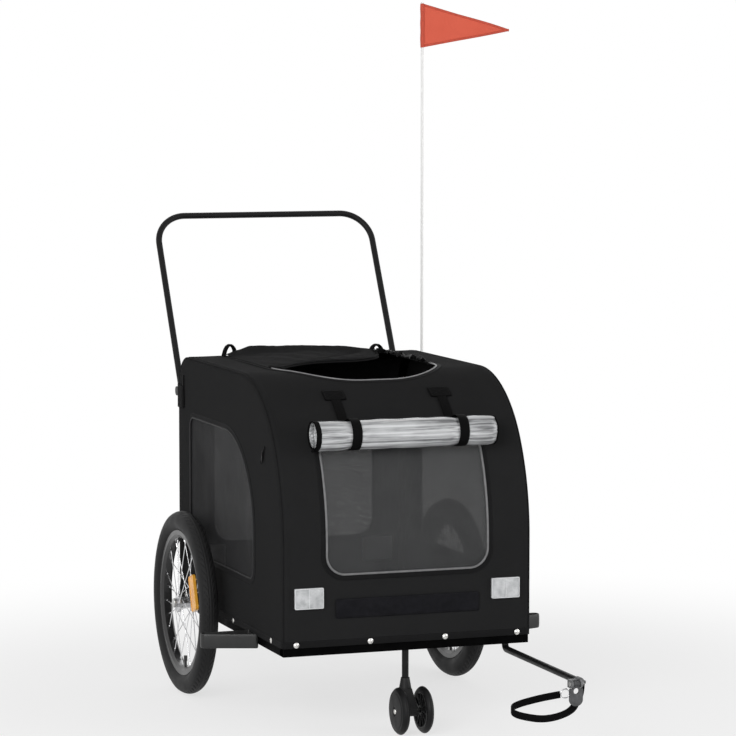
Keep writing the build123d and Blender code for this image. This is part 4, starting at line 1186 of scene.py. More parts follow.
def flapHeight(x, y):
    crest = np.interp(x, *np.array(flap["crest"]).T)
    across = (y - flap["crestY"]) / np.where(y > flap["crestY"], 0.019, 0.034)
    fold = crest * np.exp(-across * across * 1.6)
    gap = nearestOn(evenly(flap["edge"], 0.002), x, y)[0]
    gap = np.where(insideOf(flapOutline(), x, y), gap, 0.0)
    free = 1 - fade(gap, flap["curl"])
    overRoof = fade(-(x + cabin["hatchHalf"] - 0.012), 0.010)
    body = 0.0034 + 0.0055 * fade(gap, 0.08) * (1 - fade(y - 0.03, 0.06)) * fade(x + 0.19, 0.10)
    folds = 0.0016 * ripples(x, y, 0.055, 71, lean=0.9) + 0.0006 * ripples(x, y, 0.021, 72)
    folds = folds * fade(gap + 0.008, 0.03) * fade(x + 0.187, 0.03) * fade(flap["rear"] - y, 0.02)
    drop = -0.004 * free * free * (1 - overRoof) * (1 - fade(y - 0.055, 0.03))
    lowest = np.where(overRoof > 0.4, 0.0021, -0.02)
    return np.maximum(body * (1 - 0.55 * overRoof) + fold + folds + drop, lowest)


def flapOutline():
    return evenly(flap["edge"] + [(-0.186, flap["rear"])], 0.003)


cabin["hatchHalf"] = hatchEdges()[1]


def foldFlap():
    outline = flapOutline()
    edge = np.array(outline)
    x, y, faces = cutSheet(edge.min(axis=0), edge.max(axis=0), flap["grid"], outer=outline)
    z = cabin["roof"] + flapHeight(x, y)
    points = np.stack([middleX + x, axleY + y, z], axis=-1)
    piece = addPiece("hatch_flap", (points, faces), "cover_fabric",
                     uv=np.stack([x, y], axis=1))
    thicken(piece, cabin["cloth"])
    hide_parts("hatch_flap_roll")
    # the zip's tape and teeth on the free edge
    free = routeLine("flap_edge", [(a, b, 0.0) for a, b in flap["edge"]], 10)
    fx, fy = np.array([p.x for p in free]), np.array([p.y for p in free])
    fz = cabin["roof"] + flapHeight(fx, fy)
    edgePoints = [Vector((middleX + a, axleY + b, c)) for a, b, c in zip(fx, fy, fz)]
    lifts = [
        Vector((t.y, -t.x, 0)).normalized() + Vector((0, 0, flap["edgeUp"])) for t in tangents(edgePoints)
    ]
    width, thick = flap["tape"]
    shape = band(raised(edgePoints, lifts, flap["tapeLift"]), lifts, width, thick)
    tape = addPiece("hatch_flap_zip_tape", shape, "binding", uv=tapeUv(edgePoints, width))
    teeth = stitches(raised(edgePoints, lifts, flap["teethLift"]), lifts, *flap["teeth"])
    zipper = addPiece("hatch_flap_zip_teeth", teeth, "zip")


makeFinish(
    "zip", (0.004, 0.004, 0.0042), (0.007, 0.007, 0.0073), (0.34, 0.48),
    grain=(2200.0, 120.0, 0.00004), dust=0.01, specular=0.06,
)


zipShape = {
    "tape": 0.0007,
    "tapeLift": 0.0004,
    "teeth": (0.0020, 0.0013, 0.0011),
    "teethLift": 0.0008,
    "pullLift": 0.0016,
}


def zipLine(name, points, lifts, width, pull):
    # a coil zip: a tape with a row of teeth, and a slider with its pull at one of the points
    tape = band(raised(points, lifts, zipShape["tapeLift"]), lifts, width, zipShape["tape"])
    addPiece(f"{name}_zip_tape", tape, "binding", uv=tapeUv(points, width))
    teeth = stitches(raised(points, lifts, zipShape["teethLift"]), lifts, *zipShape["teeth"])
    addPiece(f"{name}_zip_teeth", teeth, "zip")
    at = points[pull] + lifts[pull] * zipShape["pullLift"]
    slider(f"{name}_zip_slider", at, tangents(points)[pull], lifts[pull])


def slider(name, at, along, lift):
    # slider body, bridge and a pull that hangs down
    side = lift.cross(along).normalized()
    end, shoulder, middle = (0.0030, 0.0014), (0.0036, 0.0018), (0.0044, 0.0020)
    body = sweepSection(
        [at + along * t for t in (-0.0048, -0.0042, 0.0, 0.0042, 0.0048)],
        [roundSection(*size) for size in (end, shoulder, middle, shoulder, end)],
        [(along, side, lift)] * 5,
    )
    feet = [at + along * t + lift * 0.0008 for t in (-0.003, 0.003)]
    bridge = tube([feet[0], at + lift * 0.0024, feet[1]], 0.0006, 6, up=side)
    down = squareTo(Vector((0, 0, -1)), lift)
    start = at + lift * 0.0022
    grip = sweepSection(
        [start + down * t for t in (0.0, 0.002, 0.006, 0.012, 0.018, 0.0205)],
        [roundSection(w, 0.0012) for w in (0.0016, 0.0024, 0.0030, 0.0036, 0.0034, 0.0022)],
        [(down, down.cross(lift).normalized(), lift)] * 6,
    )
    addPiece(name, join(body, bridge, grip), "zip")


def roundSection(width, height, sides=12, power=3.2):
    # a superellipse ring
    ring = []
    for k in range(sides):
        a = 2 * math.pi * k / sides
        x, y = (math.copysign(abs(part) ** (2 / power), part) for part in (math.cos(a), math.sin(a)))
        ring.append((x * width, y * height))
    return ring


def crumpleZip():
    # the other half of the zip stands crumpled along the opening's right side and its rear edge
    outline = np.array(hatchOpening)
    count, sideX = len(outline), cabin["hatchHalf"]
    start, stop = (
        int(np.argmin((outline[:, 0] - sideX + aside) ** 2 + (outline[:, 1] - atDepth(axleY + back)) ** 2))
        for aside, back in ((0.0, -0.215), (0.03, 0.076))
    )
    picked = [outline[i % count] for i in range(start, stop if stop > start else stop + count)]
    gone = np.cumsum([0.0] + [float(np.hypot(*(b - a))) for a, b in zip(picked, picked[1:])])
    points, lifts = [], []
    for (x, d), s in zip(picked, gone):
        tall = 0.0030 + 0.0032 * abs(math.sin(s * 82.0)) + 0.0016 * math.sin(s * 211.0 + 1.3)
        lean = 0.0022 * math.sin(s * 121.0) + 0.0012 * math.sin(s * 260.0)
        tall *= fade(min(s, gone[-1] - s), 0.02)
        points.append(skinPoint(x - 0.003 + lean, d, tall))
        face = -math.cos(s * 95.0 + 0.6), 0.35 * math.sin(s * 160.0), 0.55 + 0.4 * math.sin(s * 60.0)
        lifts.append(Vector(face))
    addTape("hatch_right_zip_tape", points, lifts, 0.010, 0.0009, "zip")


foldFlap()
crumpleZip()


def trimHatch():
    # grey piping on the front of the opening and black piping on the rest
    front = [b < atDepth(axleY - 0.195) for _, b in hatchOpening]
    first = next(i for i, keep in enumerate(front) if keep and not front[i - 1])
    turned = hatchOpening[first:] + hatchOpening[:first]
    front = front[first:] + front[:first]
    trimOpening("hatch", turned, onSkin, "piping_light", part=front)
    rest = [p for p, keep in zip(onSkin(turned, trim["pipeLift"])[0], front) if not keep]
    addPiece("hatch_rear_piping", tube(rest, trim["pipe"], 10), "piping_black")


makeFinish(
    "piping_light", (0.16, 0.16, 0.165), (0.23, 0.23, 0.235), (0.34, 0.48),
    grain=(1600.0, 90.0, 0.00006), dust=0.02, specular=0.5,
)
trimHatch()
print("hatch flap folded back")

# Small sewn patches of webbing on the cover
def patch(name, low, high, place, lift, thick, finish, slotName, grid=0.004, flip=False):
    outline = roundedOutline(low, high, (0.003,) * 4)
    u, v, faces = cutSheet(low, high, grid, outer=outline)
    points = place(u, v, np.full_like(u, lift + thick))
    if flip:
        faces = [face[::-1] for face in faces]
    piece = addPiece(name, (points, faces), finish, uv=np.stack([u, v], axis=1))
    return thicken(piece, thick)


def boxStitch(name, low, high, place, lift, inset=0.003, cross=True):
    # a sewn rectangle, crossed corner to corner where it has to carry load
    a, b = (low[0] + inset, low[1] + inset), (high[0] - inset, high[1] - inset)
    c, d = (b[0], a[1]), (a[0], b[1])
    runs = [(a, c), (c, b), (b, d), (d, a)] + ([(a, b), (d, c)] if cross else [])
    rows = []
    for p, q in runs:
        t = np.linspace(0, 1, max(3, int(math.dist(p, q) / 0.002)))
        u, v = p[0] + (q[0] - p[0]) * t, p[1] + (q[1] - p[1]) * t
        spots = [Vector(s) for s in place(u, v, np.full_like(u, lift))]
        outer = [Vector(s) for s in place(u, v, np.full_like(u, lift + 0.01))]
        rows.append(stitches(spots, [(o - s).normalized() for o, s in zip(outer, spots)], *trim["stitch"]))
    addPiece(name, join(*rows), "thread", smooth=False)


# Rain cover: clear film wound into a loose roll, with corded ends and a binding on the right one
rainRoll = {
    "inner": 0.0065,
    "pitch": 0.0056,
    "film": 0.0007,
    "grid": 0.005,
    "perTurn": 60,
    "creases": [  # angle up from the front, height, half-width, drift in degrees, length of the drift
        (12, 0.0022, 5, 7, 0.42), (33, 0.0010, 6, 8, 0.31), (-12, 0.0013, 7, 6, 0.27),
        (62, 0.0011, 8, 7, 0.40), (-38, 0.0014, 7, 6, 0.36), (-76, 0.0008, 9, 6, 0.30),
    ],
    "tie": (0.0026, 0.017),
    "ties": 0.117,
    "binding": (0.0105, 0.0009),
    "end": -98.0,
    "spare": 0.0012,  # how far the film stays inside its packed box
    "edgeCord": 0.0019,
}


def rollPlace():
    low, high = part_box("rain_cover_roll")
    return (high.x - low.x) / 2, (low.y + high.y) / 2, (low.z + high.z) / 2, (high.z - low.z) / 2


def rollRadius(x, turn):
    # radius of the film at x from the middle, this many turns in from its outer end
    half, _, _, radius = rollPlace()
    angle = rainRoll["end"] + 360.0 * turn
    out = radius - rainRoll["spare"] - rainRoll["pitch"] * turn
    for k, (at, high, wide, drift, bend) in enumerate(rainRoll["creases"]):
        middle = at + drift * np.sin(2 * math.pi * x / bend + 1.7 * k)
        away = (angle - middle + 180.0) % 360.0 - 180.0
        out = out + high * np.exp(-(away / wide) ** 2) * np.where(turn < 1.2, 1.0, 0.5)
    arc = np.radians(angle) * 0.03
    out = out + 0.00035 * ripples(x, arc, 0.011, 81, lean=math.pi / 2)
    out = out + 0.0005 * ripples(x, arc, 0.05, 82)
    pinch, wide = rainRoll["tie"]
    out = out - pinch * np.exp(-(((np.abs(x) - rainRoll["ties"]) / wide) ** 2))
    return out - 0.0022 * (1 - fade(half - x, 0.016))


def rollPoint(x, turn, lift=0.0):
    _, y, z, _ = rollPlace()
    a = np.radians(rainRoll["end"] + 360.0 * turn)
    r = rollRadius(x, turn) + lift
    return np.stack([middleX + x, y - r * np.cos(a), z + r * np.sin(a)], axis=-1)


def windRoll():
    half, _, _, radius = rollPlace()
    spare, inner = rainRoll["spare"], rainRoll["inner"]
    turns = (radius - spare - inner) / rainRoll["pitch"]
    rows, columns = int(turns * rainRoll["perTurn"]), int(2 * half / rainRoll["grid"])
    width = np.linspace(-half + spare, half - spare, columns + 1)
    turn, x = np.meshgrid(np.linspace(0, turns, rows + 1), width, indexing="ij")
    turn, x = turn.ravel(), x.ravel()
    length = math.pi * (radius + inner) * turns
    shape = rollPoint(x, turn), gridFaces(rows, columns).tolist()
    piece = addPiece("rain_cover_film", shape, "clear_vinyl",
                     uv=np.stack([x, turn / turns * length], axis=1))
    thicken(piece, rainRoll["film"])
    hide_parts("rain_cover_roll")
    extra = []
    for name, at, sign, wound in (("right", -half, 1, 1.08), ("left", half, -1, 1.5)):
        extra += bindRollEnd(name, at, sign, np.linspace(0.0, wound, 80))


def bindRollEnd(name, at, sign, turn):
    # an edge cord at each end of the roll, and a wide black binding at the right one
    edge = [Vector(p) for p in rollPoint(np.full_like(turn, at + sign * rainRoll["spare"]), turn)]
    cord = tube(edge, rainRoll["edgeCord"], 8, up=(1, 0, 0))
    pieces = [addPiece(f"rain_cover_{name}_edge", cord, "webbing")]
    if sign > 0:
        width, thick = rainRoll["binding"]
        middle = np.full_like(turn, at + width / 2)
        spots = [Vector(p) for p in rollPoint(middle, turn, thick / 2 + 0.0002)]
        inner = [Vector(p) for p in rollPoint(middle, turn, -0.01)]
        lifts = [s - i for s, i in zip(spots, inner)]
        pieces.append(addTape(f"rain_cover_{name}_binding", spots, lifts, width, thick))
    return pieces


# painted highlights and painted shade: the clear film is opaque here, and its wide light and dark streaks
# along the roll stand for the highlights and shade of its wrinkles
makeFinish(
    "clear_vinyl", (0.075, 0.077, 0.082), (0.66, 0.67, 0.68), (0.10, 0.22),
    streak=((4.0, 170.0, 170.0), 0.85), dust=0.01,
    grain=(300.0, 20.0, 0.0001), coat=(0.4, 0.08), specular=0.5,
)
windRoll()
print("rain cover wound")

# The straps that hold the roll: a crossed tab, a run down the nose, and a band round the roll
rainStraps = {
    "width": 0.021,
    "thick": 0.0016,
    "tab": (0.047, 0.028),
    "aside": 0.005,
    "spread": 0.002,
    "start": -145.0,
    "wound": 330.0,
    "drift": 0.001,
}


def tieRoll():
    low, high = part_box("rain_cover_straps")
    wide, long = rainStraps["tab"]
    width, thick = rainStraps["width"], rainStraps["thick"]
    x = (high.x - low.x - wide) / 2 + rainStraps["spread"]
    _, cy, cz, radius = rollPlace()
    far, near = atDepth(high.y), atDepth(high.y - long)
    leave = atHeight(cz - 0.016)
    for name, middle in (("right", rainStraps["aside"] - x), ("left", rainStraps["aside"] + x)):
        corner, end = (middle - wide / 2, near), (middle + wide / 2, far)
        patch(f"{name}_cover_strap_tab", corner, end, skin, 0.0002, 0.0018, "webbing", "webbing")
        boxStitch(f"{name}_cover_strap_tab_stitches", corner, end, skin, 0.0020)
        down = np.arange(near + 0.004, leave, -0.006)
        spots = [skinPoint(middle, d, 0.0012) for d in down]
        lifts = [skinNormal(d) for d in down]
        r = radius - rainRoll["spare"]
        for step in np.arange(0.0, rainStraps["wound"], 6.0):
            a = math.radians(rainStraps["start"] + step)
            drift = rainStraps["drift"] * fade(step, 90.0)
            spots.append(Vector((middleX + middle + drift, cy - r * math.cos(a), cz + r * math.sin(a))))
            lifts.append(Vector((0, -math.cos(a), math.sin(a))))
        piece = addTape(f"{name}_cover_strap", spots, lifts, width, thick)
        if name == "right":
            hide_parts("rain_cover_straps")


tieRoll()

# Two loops of webbing that stand behind the hatch
hatchLoop = {
    "thick": 0.0046,
    "arch": [(-0.0190, 0.0006), (-0.0165, 0.0090), (-0.0125, 0.0175), (-0.0060, 0.0240), (0.0010, 0.0245),
             (0.0070, 0.0205), (0.0112, 0.0140), (0.0125, 0.0070), (0.0110, 0.0006)],
    "turn": 0.38,  # how far each loop is turned on the roof
    "sunk": 0.62,  # the left loop has slumped to this share of its height
    "slipped": 0.010,
    "foot": 0.0006,
}


def sewLoops():
    low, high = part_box("hatch_flap_loops")
    width, y = high.y - low.y, (high.y + low.y) / 2
    reach = (high.x - low.x) / 2 - (high.z - low.z) / 2
    c, s = math.cos(hatchLoop["turn"]), math.sin(hatchLoop["turn"])
    foot = hatchLoop["foot"]
    for name, x, way, tall in (
        ("right", -reach, 1, 1.0), ("left", reach - hatchLoop["slipped"], -1, hatchLoop["sunk"]),
    ):
        arch = [(a * way, foot + (b - foot) * tall) for a, b in hatchLoop["arch"]]
        roof = cabin["roof"] + 0.0008
        line = routeLine("loop", [(middleX + x + a * c, y + a * s, roof + b) for a, b in arch], 8)
        lifts = [Vector((-t.z * c, -t.z * s, t.x * c + t.y * s)) for t in tangents(line)]
        piece = addTape(f"{name}_hatch_loop", line, lifts, width, hatchLoop["thick"])
        if name == "right":
            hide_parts("hatch_flap_loops")


sewLoops()

# Hook tape under the front window
hookStrip = {"thick": 0.0015, "edge": 0.0022}


def sewHookStrip():
    low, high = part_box("hook_strip")
    half = (high.x - low.x) / 2
    corner, end = (-half, atHeight(low.z)), (half, atHeight(high.z))
    thick = hookStrip["thick"]
    piece = patch("front_hook_tape", corner, end, skin, 0.0, thick, "hook_loop", "hook_loop", grid=0.006)
    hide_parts("hook_strip")
    boxStitch("front_hook_tape_stitches", corner, end, skin, thick, inset=hookStrip["edge"], cross=False)


makeFinish(
    "hook_loop", (0.0085, 0.0085, 0.0102), (0.0130, 0.0130, 0.0155), (0.82, 0.94),
    grain=(2400.0, 70.0, 0.0006), dust=0.01, specular=0.05,
)
sewHookStrip()
print("straps, loops and hook tape sewn")

# Press studs along the hem
snap = {
    "profile": [(0.0062, -0.0002), (0.0062, 0.0005), (0.0056, 0.0010), (0.0048, 0.0009), (0.0044, 0.0013),
                (0.0037, 0.0020), (0.0024, 0.0026), (0.0008, 0.0028)],
    "ends": (-0.242, -0.082, 0.082, 0.242),
    "sides": (-0.488, -0.228, 0.128),
}


def setSnaps():
    low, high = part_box("hem_snaps")
    z = (low.z + high.z) / 2
    shapes = []
    for x in snap["ends"]:
        for y, out in ((cabin["front"], -1), (cabin["rear"], 1)):
            shapes.append(spinUpright(snap["profile"], (middleX + x, y, z), (0, out, 0)))
    for y in snap["sides"]:
        for out in (-1, 1):
            spot = (middleX + out * cabin["half"], axleY + y, z)
            shapes.append(spinUpright(snap["profile"], spot, (out, 0, 0)))
    piece = addPiece("hem_press_studs", join(*shapes), "snap_metal")
    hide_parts("hem_snaps")


makeFinish(
    "snap_metal", (0.62, 0.61, 0.58), (0.78, 0.77, 0.75), (0.16, 0.30), metal=1.0,
    grain=(900.0, 60.0, 0.00003), wear=(0.25, (0.85, 0.84, 0.82)), dust=0.02,
)
setSnaps()

# Reflectors: a shallow housing round a lens of small pyramids in two halves
lens = {
    "pitch": 0.0031,
    "prism": 0.0009,
    "rim": 0.0022,
    "bar": 0.0016,
    "corner": 0.0025,
    "wide": 0.062,
    "sunk": 0.0014,  # how deep the prisms' plane and the bar's foot lie behind the rim's face
    "barSunk": 0.0003,
}


def lensShape(wide, tall, bar):
    # prisms on a plane: u across, v up, w outwards, in two halves with a bar between
    points, faces = [], []
    for start, end in ((-wide / 2, -bar / 2), (bar / 2, wide / 2)):
        across = max(1, round((end - start) / lens["pitch"]))
        along = max(1, round(tall / lens["pitch"]))
        us, vs = np.linspace(start, end, across + 1), np.linspace(-tall / 2, tall / 2, along + 1)
        for i in range(across):
            for k in range(along):
                n = len(points)
                (u0, u1), (v0, v1) = us[i:i + 2], vs[k:k + 2]
                points += [(u0, v0, 0), (u1, v0, 0), (u1, v1, 0), (u0, v1, 0)]
                points.append(((u0 + u1) / 2, (v0 + v1) / 2, lens["prism"]))
                faces += [(n + j, n + (j + 1) % 4, n + 4) for j in range(4)]
    return points, faces


def housingShape(wide, tall, deep, corner, bar):
    # rounded box open towards the lens, as rings from the back edge to inside the rim
    rim, seat = lens["rim"], deep - lens["sunk"]
    rings = [(0, 0.0), (0, deep - 0.0012), (0.0006, deep - 0.0003), (0.0014, deep), (rim, deep), (rim, seat)]
    points, faces = [], []
    for inset, level in rings:
        edge = max(corner - inset, 0.0006)
        x, y = wide / 2 - inset - edge, tall / 2 - inset - edge
        for cx, cy, turn in ((1, -1, -90), (1, 1, 0), (-1, 1, 90), (-1, -1, 180)):
            for k in range(5):
                a = math.radians(turn + 22.5 * k)
                points.append((cx * x + edge * math.cos(a), cy * y + edge * math.sin(a), level))
    ring = len(points) // len(rings)
    for k in range(len(rings) - 1):
        for i in range(ring):
            j = (i + 1) % ring
            faces.append((k * ring + i, k * ring + j, (k + 1) * ring + j, (k + 1) * ring + i))
    faces.append(tuple(range(ring))[::-1])
    faces.append(tuple(range((len(rings) - 1) * ring, len(rings) * ring)))
    if not bar:
        return points, faces
    x, y = bar / 2, tall / 2 - rim
    corners = ((-x, -y), (x, -y), (x, y), (-x, y))
    block = [(*spot, level) for level in (seat, deep - lens["barSunk"]) for spot in corners]
    walls = [(i, (i + 1) % 4, (i + 1) % 4 + 4, i + 4) for i in range(4)]
    return join((points, faces), (block, [(4, 5, 6, 7)] + walls))


def setAt(shape, origin, across, up, out):
    points, faces = shape
    return [origin + across * p[0] + up * p[1] + out * p[2] for p in points], faces


def fitReflectors():
    for end, out in (("front", -1), ("rear", 1)):
        low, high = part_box(f"{end}_reflectors")
        wide, tall, deep = lens["wide"], high.z - low.z, high.y - low.y
        z, y = (low.z + high.z) / 2, high.y if out < 0 else low.y
        x = (high.x - low.x) / 2 - wide / 2
        housings, lenses = [], []
        for side in (-1, 1):
            origin = Vector((middleX + side * x, y, z))
            axes = Vector((-out, 0, 0)), Vector((0, 0, 1)), Vector((0, out, 0))
            housing = housingShape(wide, tall, deep, lens["corner"], lens["bar"])
            housings.append(setAt(housing, origin, *axes))
            inside = wide - 2 * lens["rim"], tall - 2 * lens["rim"]
            spot = origin + axes[2] * (deep - lens["sunk"])
            lenses.append(setAt(lensShape(*inside, lens["bar"]), spot, *axes))
        piece = addPiece(f"{end}_reflector_housings", join(*housings), "white_reflector",
                         smooth=False)
        addPiece(f"{end}_reflector_prisms", join(*lenses), "white_prism", smooth=False)
        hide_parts(f"{end}_reflectors")


makeFinish(
    "white_reflector", (0.60, 0.61, 0.62), (0.70, 0.71, 0.72), (0.14, 0.24),
    grain=(700.0, 40.0, 0.00003), dust=0.03, coat=(0.6, 0.05),
)
makeFinish(
    "white_prism", (0.40, 0.41, 0.42), (0.62, 0.63, 0.64), (0.06, 0.16),
    grain=(900.0, 60.0, 0.00002), dust=0.02, coat=(1.0, 0.03),
)
fitReflectors()
print("studs and reflectors fitted")

# Wheels: tyres with a fine road tread, and amber reflectors between the spokes
wheel = {
    "turns": 600,
    "blocks": 75,
    "groove": 0.0013,
    "lines": (0.0034, 0.0007),
    "chevron": (0.0050, 0.0140, 60.0),
    "ribs": (0.1640, 0.1665, 0.1745),
    "rib": (0.00035, 0.0007),  # height and half-width
    "bead": 0.0105,
    "tall": 0.0475,
    "crown": 0.0058,
    "shoulder": 0.0055,
    # width, length, depth, corner, angle and radius
    "mirror": (0.034, 0.079, 0.008, 0.007, 159.5, 0.097),
    "mirrorAside": 0.008,
}


def tyreProfile(radius, half):
    # half section from the bead to the crown as (x, r), then its mirror image, closed inside
    bead = wheel["bead"]
    seat = radius - wheel["tall"]
    foot = seat + 0.006
    bulge = foot + (radius - foot) * 0.45
    round, top = math.pi / 2 * 0.78, radius - wheel["crown"]
    side = []
    for t in np.linspace(0, 1, 9):
        side.append((bead + (half - bead) * math.sin(t * math.pi / 2), foot + (bulge - foot) * t ** 1.25))
    for t in np.linspace(0.12, 1, 7):
        rise = math.sin(t * round) / math.sin(round)
        side.append((half * 0.62 + half * 0.38 * math.cos(t * round), bulge + (top - bulge) * rise))
    edge = side[-1][0]
    crown = []
    for t in np.linspace(0, 1, 15)[1:]:
        x = edge * (1 - t)
        crown.append((x, radius - wheel["crown"] * (x / edge) ** 2))
    right = side + crown
    left = [(-x, r) for x, r in right[:-1]][::-1]
    return right + left + [(-bead, seat), (bead, seat)]


def tyreShape(centre, radius, half):
    profile = np.array(tyreProfile(radius, half))
    x, r = profile[:, 0][None, :], profile[:, 1][None, :]
    turns = wheel["turns"]
    a = (2 * math.pi * np.arange(turns) / turns)[:, None]
    near, far, slope = wheel["chevron"]
    tread = 1 - fade(radius - wheel["shoulder"] - r, 0.002)
    at, wide = wheel["lines"]
    lines = np.exp(-(((np.abs(x) - at) / wide) ** 2))
    wave = np.cos(wheel["blocks"] * a + np.abs(x) * slope * 10 + np.where(x > 0, 0.0, math.pi))
    cuts = fade(wave - 0.45, 0.35) * fade(np.abs(x) - near, 0.0012) * fade(far - np.abs(x), 0.002)
    tall, thin = wheel["rib"]
    ribs = sum(np.exp(-(((r - rib) / thin) ** 2)) for rib in wheel["ribs"]) * (r < radius - 0.01)
    out = r - wheel["groove"] * np.maximum(lines + 0 * a, cuts) * tread + 0 * a
    across = x + tall * ribs * np.sign(x) + 0 * a
    points = np.stack([centre[0] + across, centre[1] + out * np.cos(a), centre[2] + out * np.sin(a)], axis=-1)
    return points.reshape(-1, 3), ringFaces(turns, len(profile))


def wheelReflector(side, centre, away):
    wide, long, deep, corner, angle, radius = wheel["mirror"]
    turn = math.radians(angle)
    out = Vector((0, math.cos(turn), math.sin(turn)))
    along = Vector((0, -math.sin(turn), math.cos(turn)))
    middle = centre + out * radius + Vector((away * wheel["mirrorAside"], 0, 0))
    housings, lenses = [], []
    for sign in (-1, 1):
        axes = out * sign, along, Vector((sign, 0, 0))
        housings.append(setAt(housingShape(wide, long, deep / 2, corner, 0.0), middle, *axes))
        inside = wide - 2 * lens["rim"], long - 2 * lens["rim"]
        lenses.append(setAt(lensShape(*inside, 0.0), middle + axes[2] * (deep / 2 - lens["sunk"]), *axes))
    body = f"{side}_wheel"
    piece = addPiece(f"{side}_wheel_reflector_housing", join(*housings), "amber_reflector",
                     body, smooth=False)
    addPiece(f"{side}_wheel_reflector_prisms", join(*lenses), "amber_prism", body,
             smooth=False)
    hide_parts(f"{side}_wheel_reflector")


def buildWheels():
    for side, away in bothSides:
        low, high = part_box(f"{side}_tyre")
        centre = (low + high) / 2
        shape = tyreShape(centre, (high.z - low.z) / 2, (high.x - low.x) / 2)
        piece = addPiece(f"{side}_tyre_tread", shape, "tyre", f"{side}_wheel")
        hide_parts(f"{side}_tyre")
        wheelReflector(side, centre, away)


makeFinish(
    "tyre", (0.0125, 0.0125, 0.0130), (0.0170, 0.0170, 0.0175), (0.50, 0.66), grain=(1300.0, 26.0, 0.00010),
    wear=(0.08, (0.030, 0.030, 0.030)), dust=0.01, specular=0.14,
)
makeFinish(
    "amber_reflector", (0.76, 0.34, 0.030), (0.88, 0.44, 0.050), (0.14, 0.26),
    grain=(700.0, 40.0, 0.00003), dust=0.02, coat=(0.6, 0.05),
)
makeFinish(
    "amber_prism", (0.70, 0.28, 0.020), (0.90, 0.46, 0.060), (0.06, 0.16),
    grain=(900.0, 60.0, 0.00002), dust=0.02, coat=(1.0, 0.03),
)
buildWheels()
print("wheels built")

# Wheel guards: a rounded band bent into a loop, riveted to the rail
guard = {
    "sweep": 0.040,
    "thick": 0.004,
    "nose": 0.010,
    "foot": 0.002,
    "rivetsAt": (0.022, 0.018),  # behind the band's front and ahead of its rear
    "rivet": [(0.0052, 0.0), (0.0050, 0.0008), (0.0038, 0.0019), (0.0018, 0.0024), (0.0004, 0.0025)],
}


def filleted(corners, radii, step=0.0015):
    # a closed outline with rounded corners, from points in a plane
    points = []
    count = len(corners)
    for i, (corner, radius) in enumerate(zip(corners, radii)):
        here = Vector(corner)
        back = (Vector(corners[i - 1]) - here).normalized()
        ahead = (Vector(corners[(i + 1) % count]) - here).normalized()
        half = back.angle(ahead) / 2
        reach = radius / math.tan(half)
        centre = here + (back + ahead).normalized() * (radius / math.sin(half))
        first, last = here + back * reach - centre, here + ahead * reach - centre
        turns = max(3, int((math.pi - 2 * half) * radius / step))
        for k in range(turns + 1):
            out = first.lerp(last, k / turns)
            points.append(tuple(centre + out.normalized() * radius))
    return evenly(points, step * 2)


def bendGuards():
    for side, sign in bothSides:
        low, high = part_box(f"{side}_wheel_guard")
        inner, outer = (low.x, high.x) if sign > 0 else (high.x, low.x)
        half = guard["thick"] / 2
        corners = [
            (inner + sign * half, low.y + half),
            (outer - sign * half, low.y + guard["sweep"] + half * 0.6),
            (outer - sign * half, high.y - half), (inner + sign * half, high.y - half),
        ]
        radii = (guard["foot"], guard["nose"], guard["nose"], guard["foot"])
        line = filleted(corners, radii)
        z, tall = (low.z + high.z) / 2, high.z - low.z
        points = [Vector((a, b, z)) for a, b in line]
        ring = roundSection(half, tall / 2, 28, 3.0)
        shape = sweepSection(points, ring, framesAlong(points, True, (0, 0, 1)), closed=True)
        front, rear = guard["rivetsAt"]
        bolts = [
            spinUpright(guard["rivet"], (inner + sign * guard["thick"], y, z), (sign, 0, 0), 16)
            for y in (low.y + front, high.y - rear)
        ]
        piece = addPiece(f"{side}_guard_band", shape, "guard_plastic")
        addPiece(f"{side}_guard_rivets", join(*bolts), "snap_metal")
        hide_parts(f"{side}_wheel_guard")


makeFinish(
    "guard_plastic", (0.013, 0.0133, 0.0136), (0.019, 0.0193, 0.0196), (0.30, 0.46),
    grain=(1100.0, 40.0, 0.00008), wear=(0.15, (0.06, 0.06, 0.06)), dust=0.02, specular=0.4,
)
bendGuards()

# Caster: two discs with rounded treads and domed outer faces, ribs inside and a cap on the axle's end
caster = {
    "wide": 0.015,
    "dome": 0.003,
    "inset": 0.0016,  # how far the ribs and caps stand off the discs' faces
    "axle": 0.004,
    "ribs": 12,
    "cap": [(0.0060, 0.0), (0.0060, 0.0006), (0.0054, 0.0014), (0.0038, 0.0022), (0.0018, 0.0026),
            (0.0004, 0.0027)],
    "turns": 128,
}


def casterSection(radius, wide):
    # (x outwards, radius) from the inner face round the tread to the domed outer face
    half, shoulder = wide / 2, radius - 0.0050
    inner = [
        (0.003, 0.0045), (0, 0.0065), (0, 0.0105), (0.0030, 0.0125), (0.0030, 0.0330), (0.0008, 0.0350),
        (0, 0.0365), (0, shoulder),
    ]
    outer = [
        (0.0006, 0.0405), (0.0003, 0.0388), (0.0012, 0.0375), (0.0017, 0.0340), (0.0022, 0.0270),
        (0.0026, 0.0200), (0.0028, 0.0130), (0.0028, 0.0092), (0.0016, 0.0084), (0.0016, 0.0030),
    ]
    rows = [(-half + x, r) for x, r in inner]
    steps = np.linspace(0.15, 1, 6)
    rows += [(-half + half * t, radius - 0.0050 * (1 - math.sin(t * math.pi / 2))) for t in steps]
    rows += [(half * t, radius - 0.0058 * (1 - math.cos(t * math.pi / 2))) for t in steps]
    return rows + [(half + x, r) for x, r in outer]


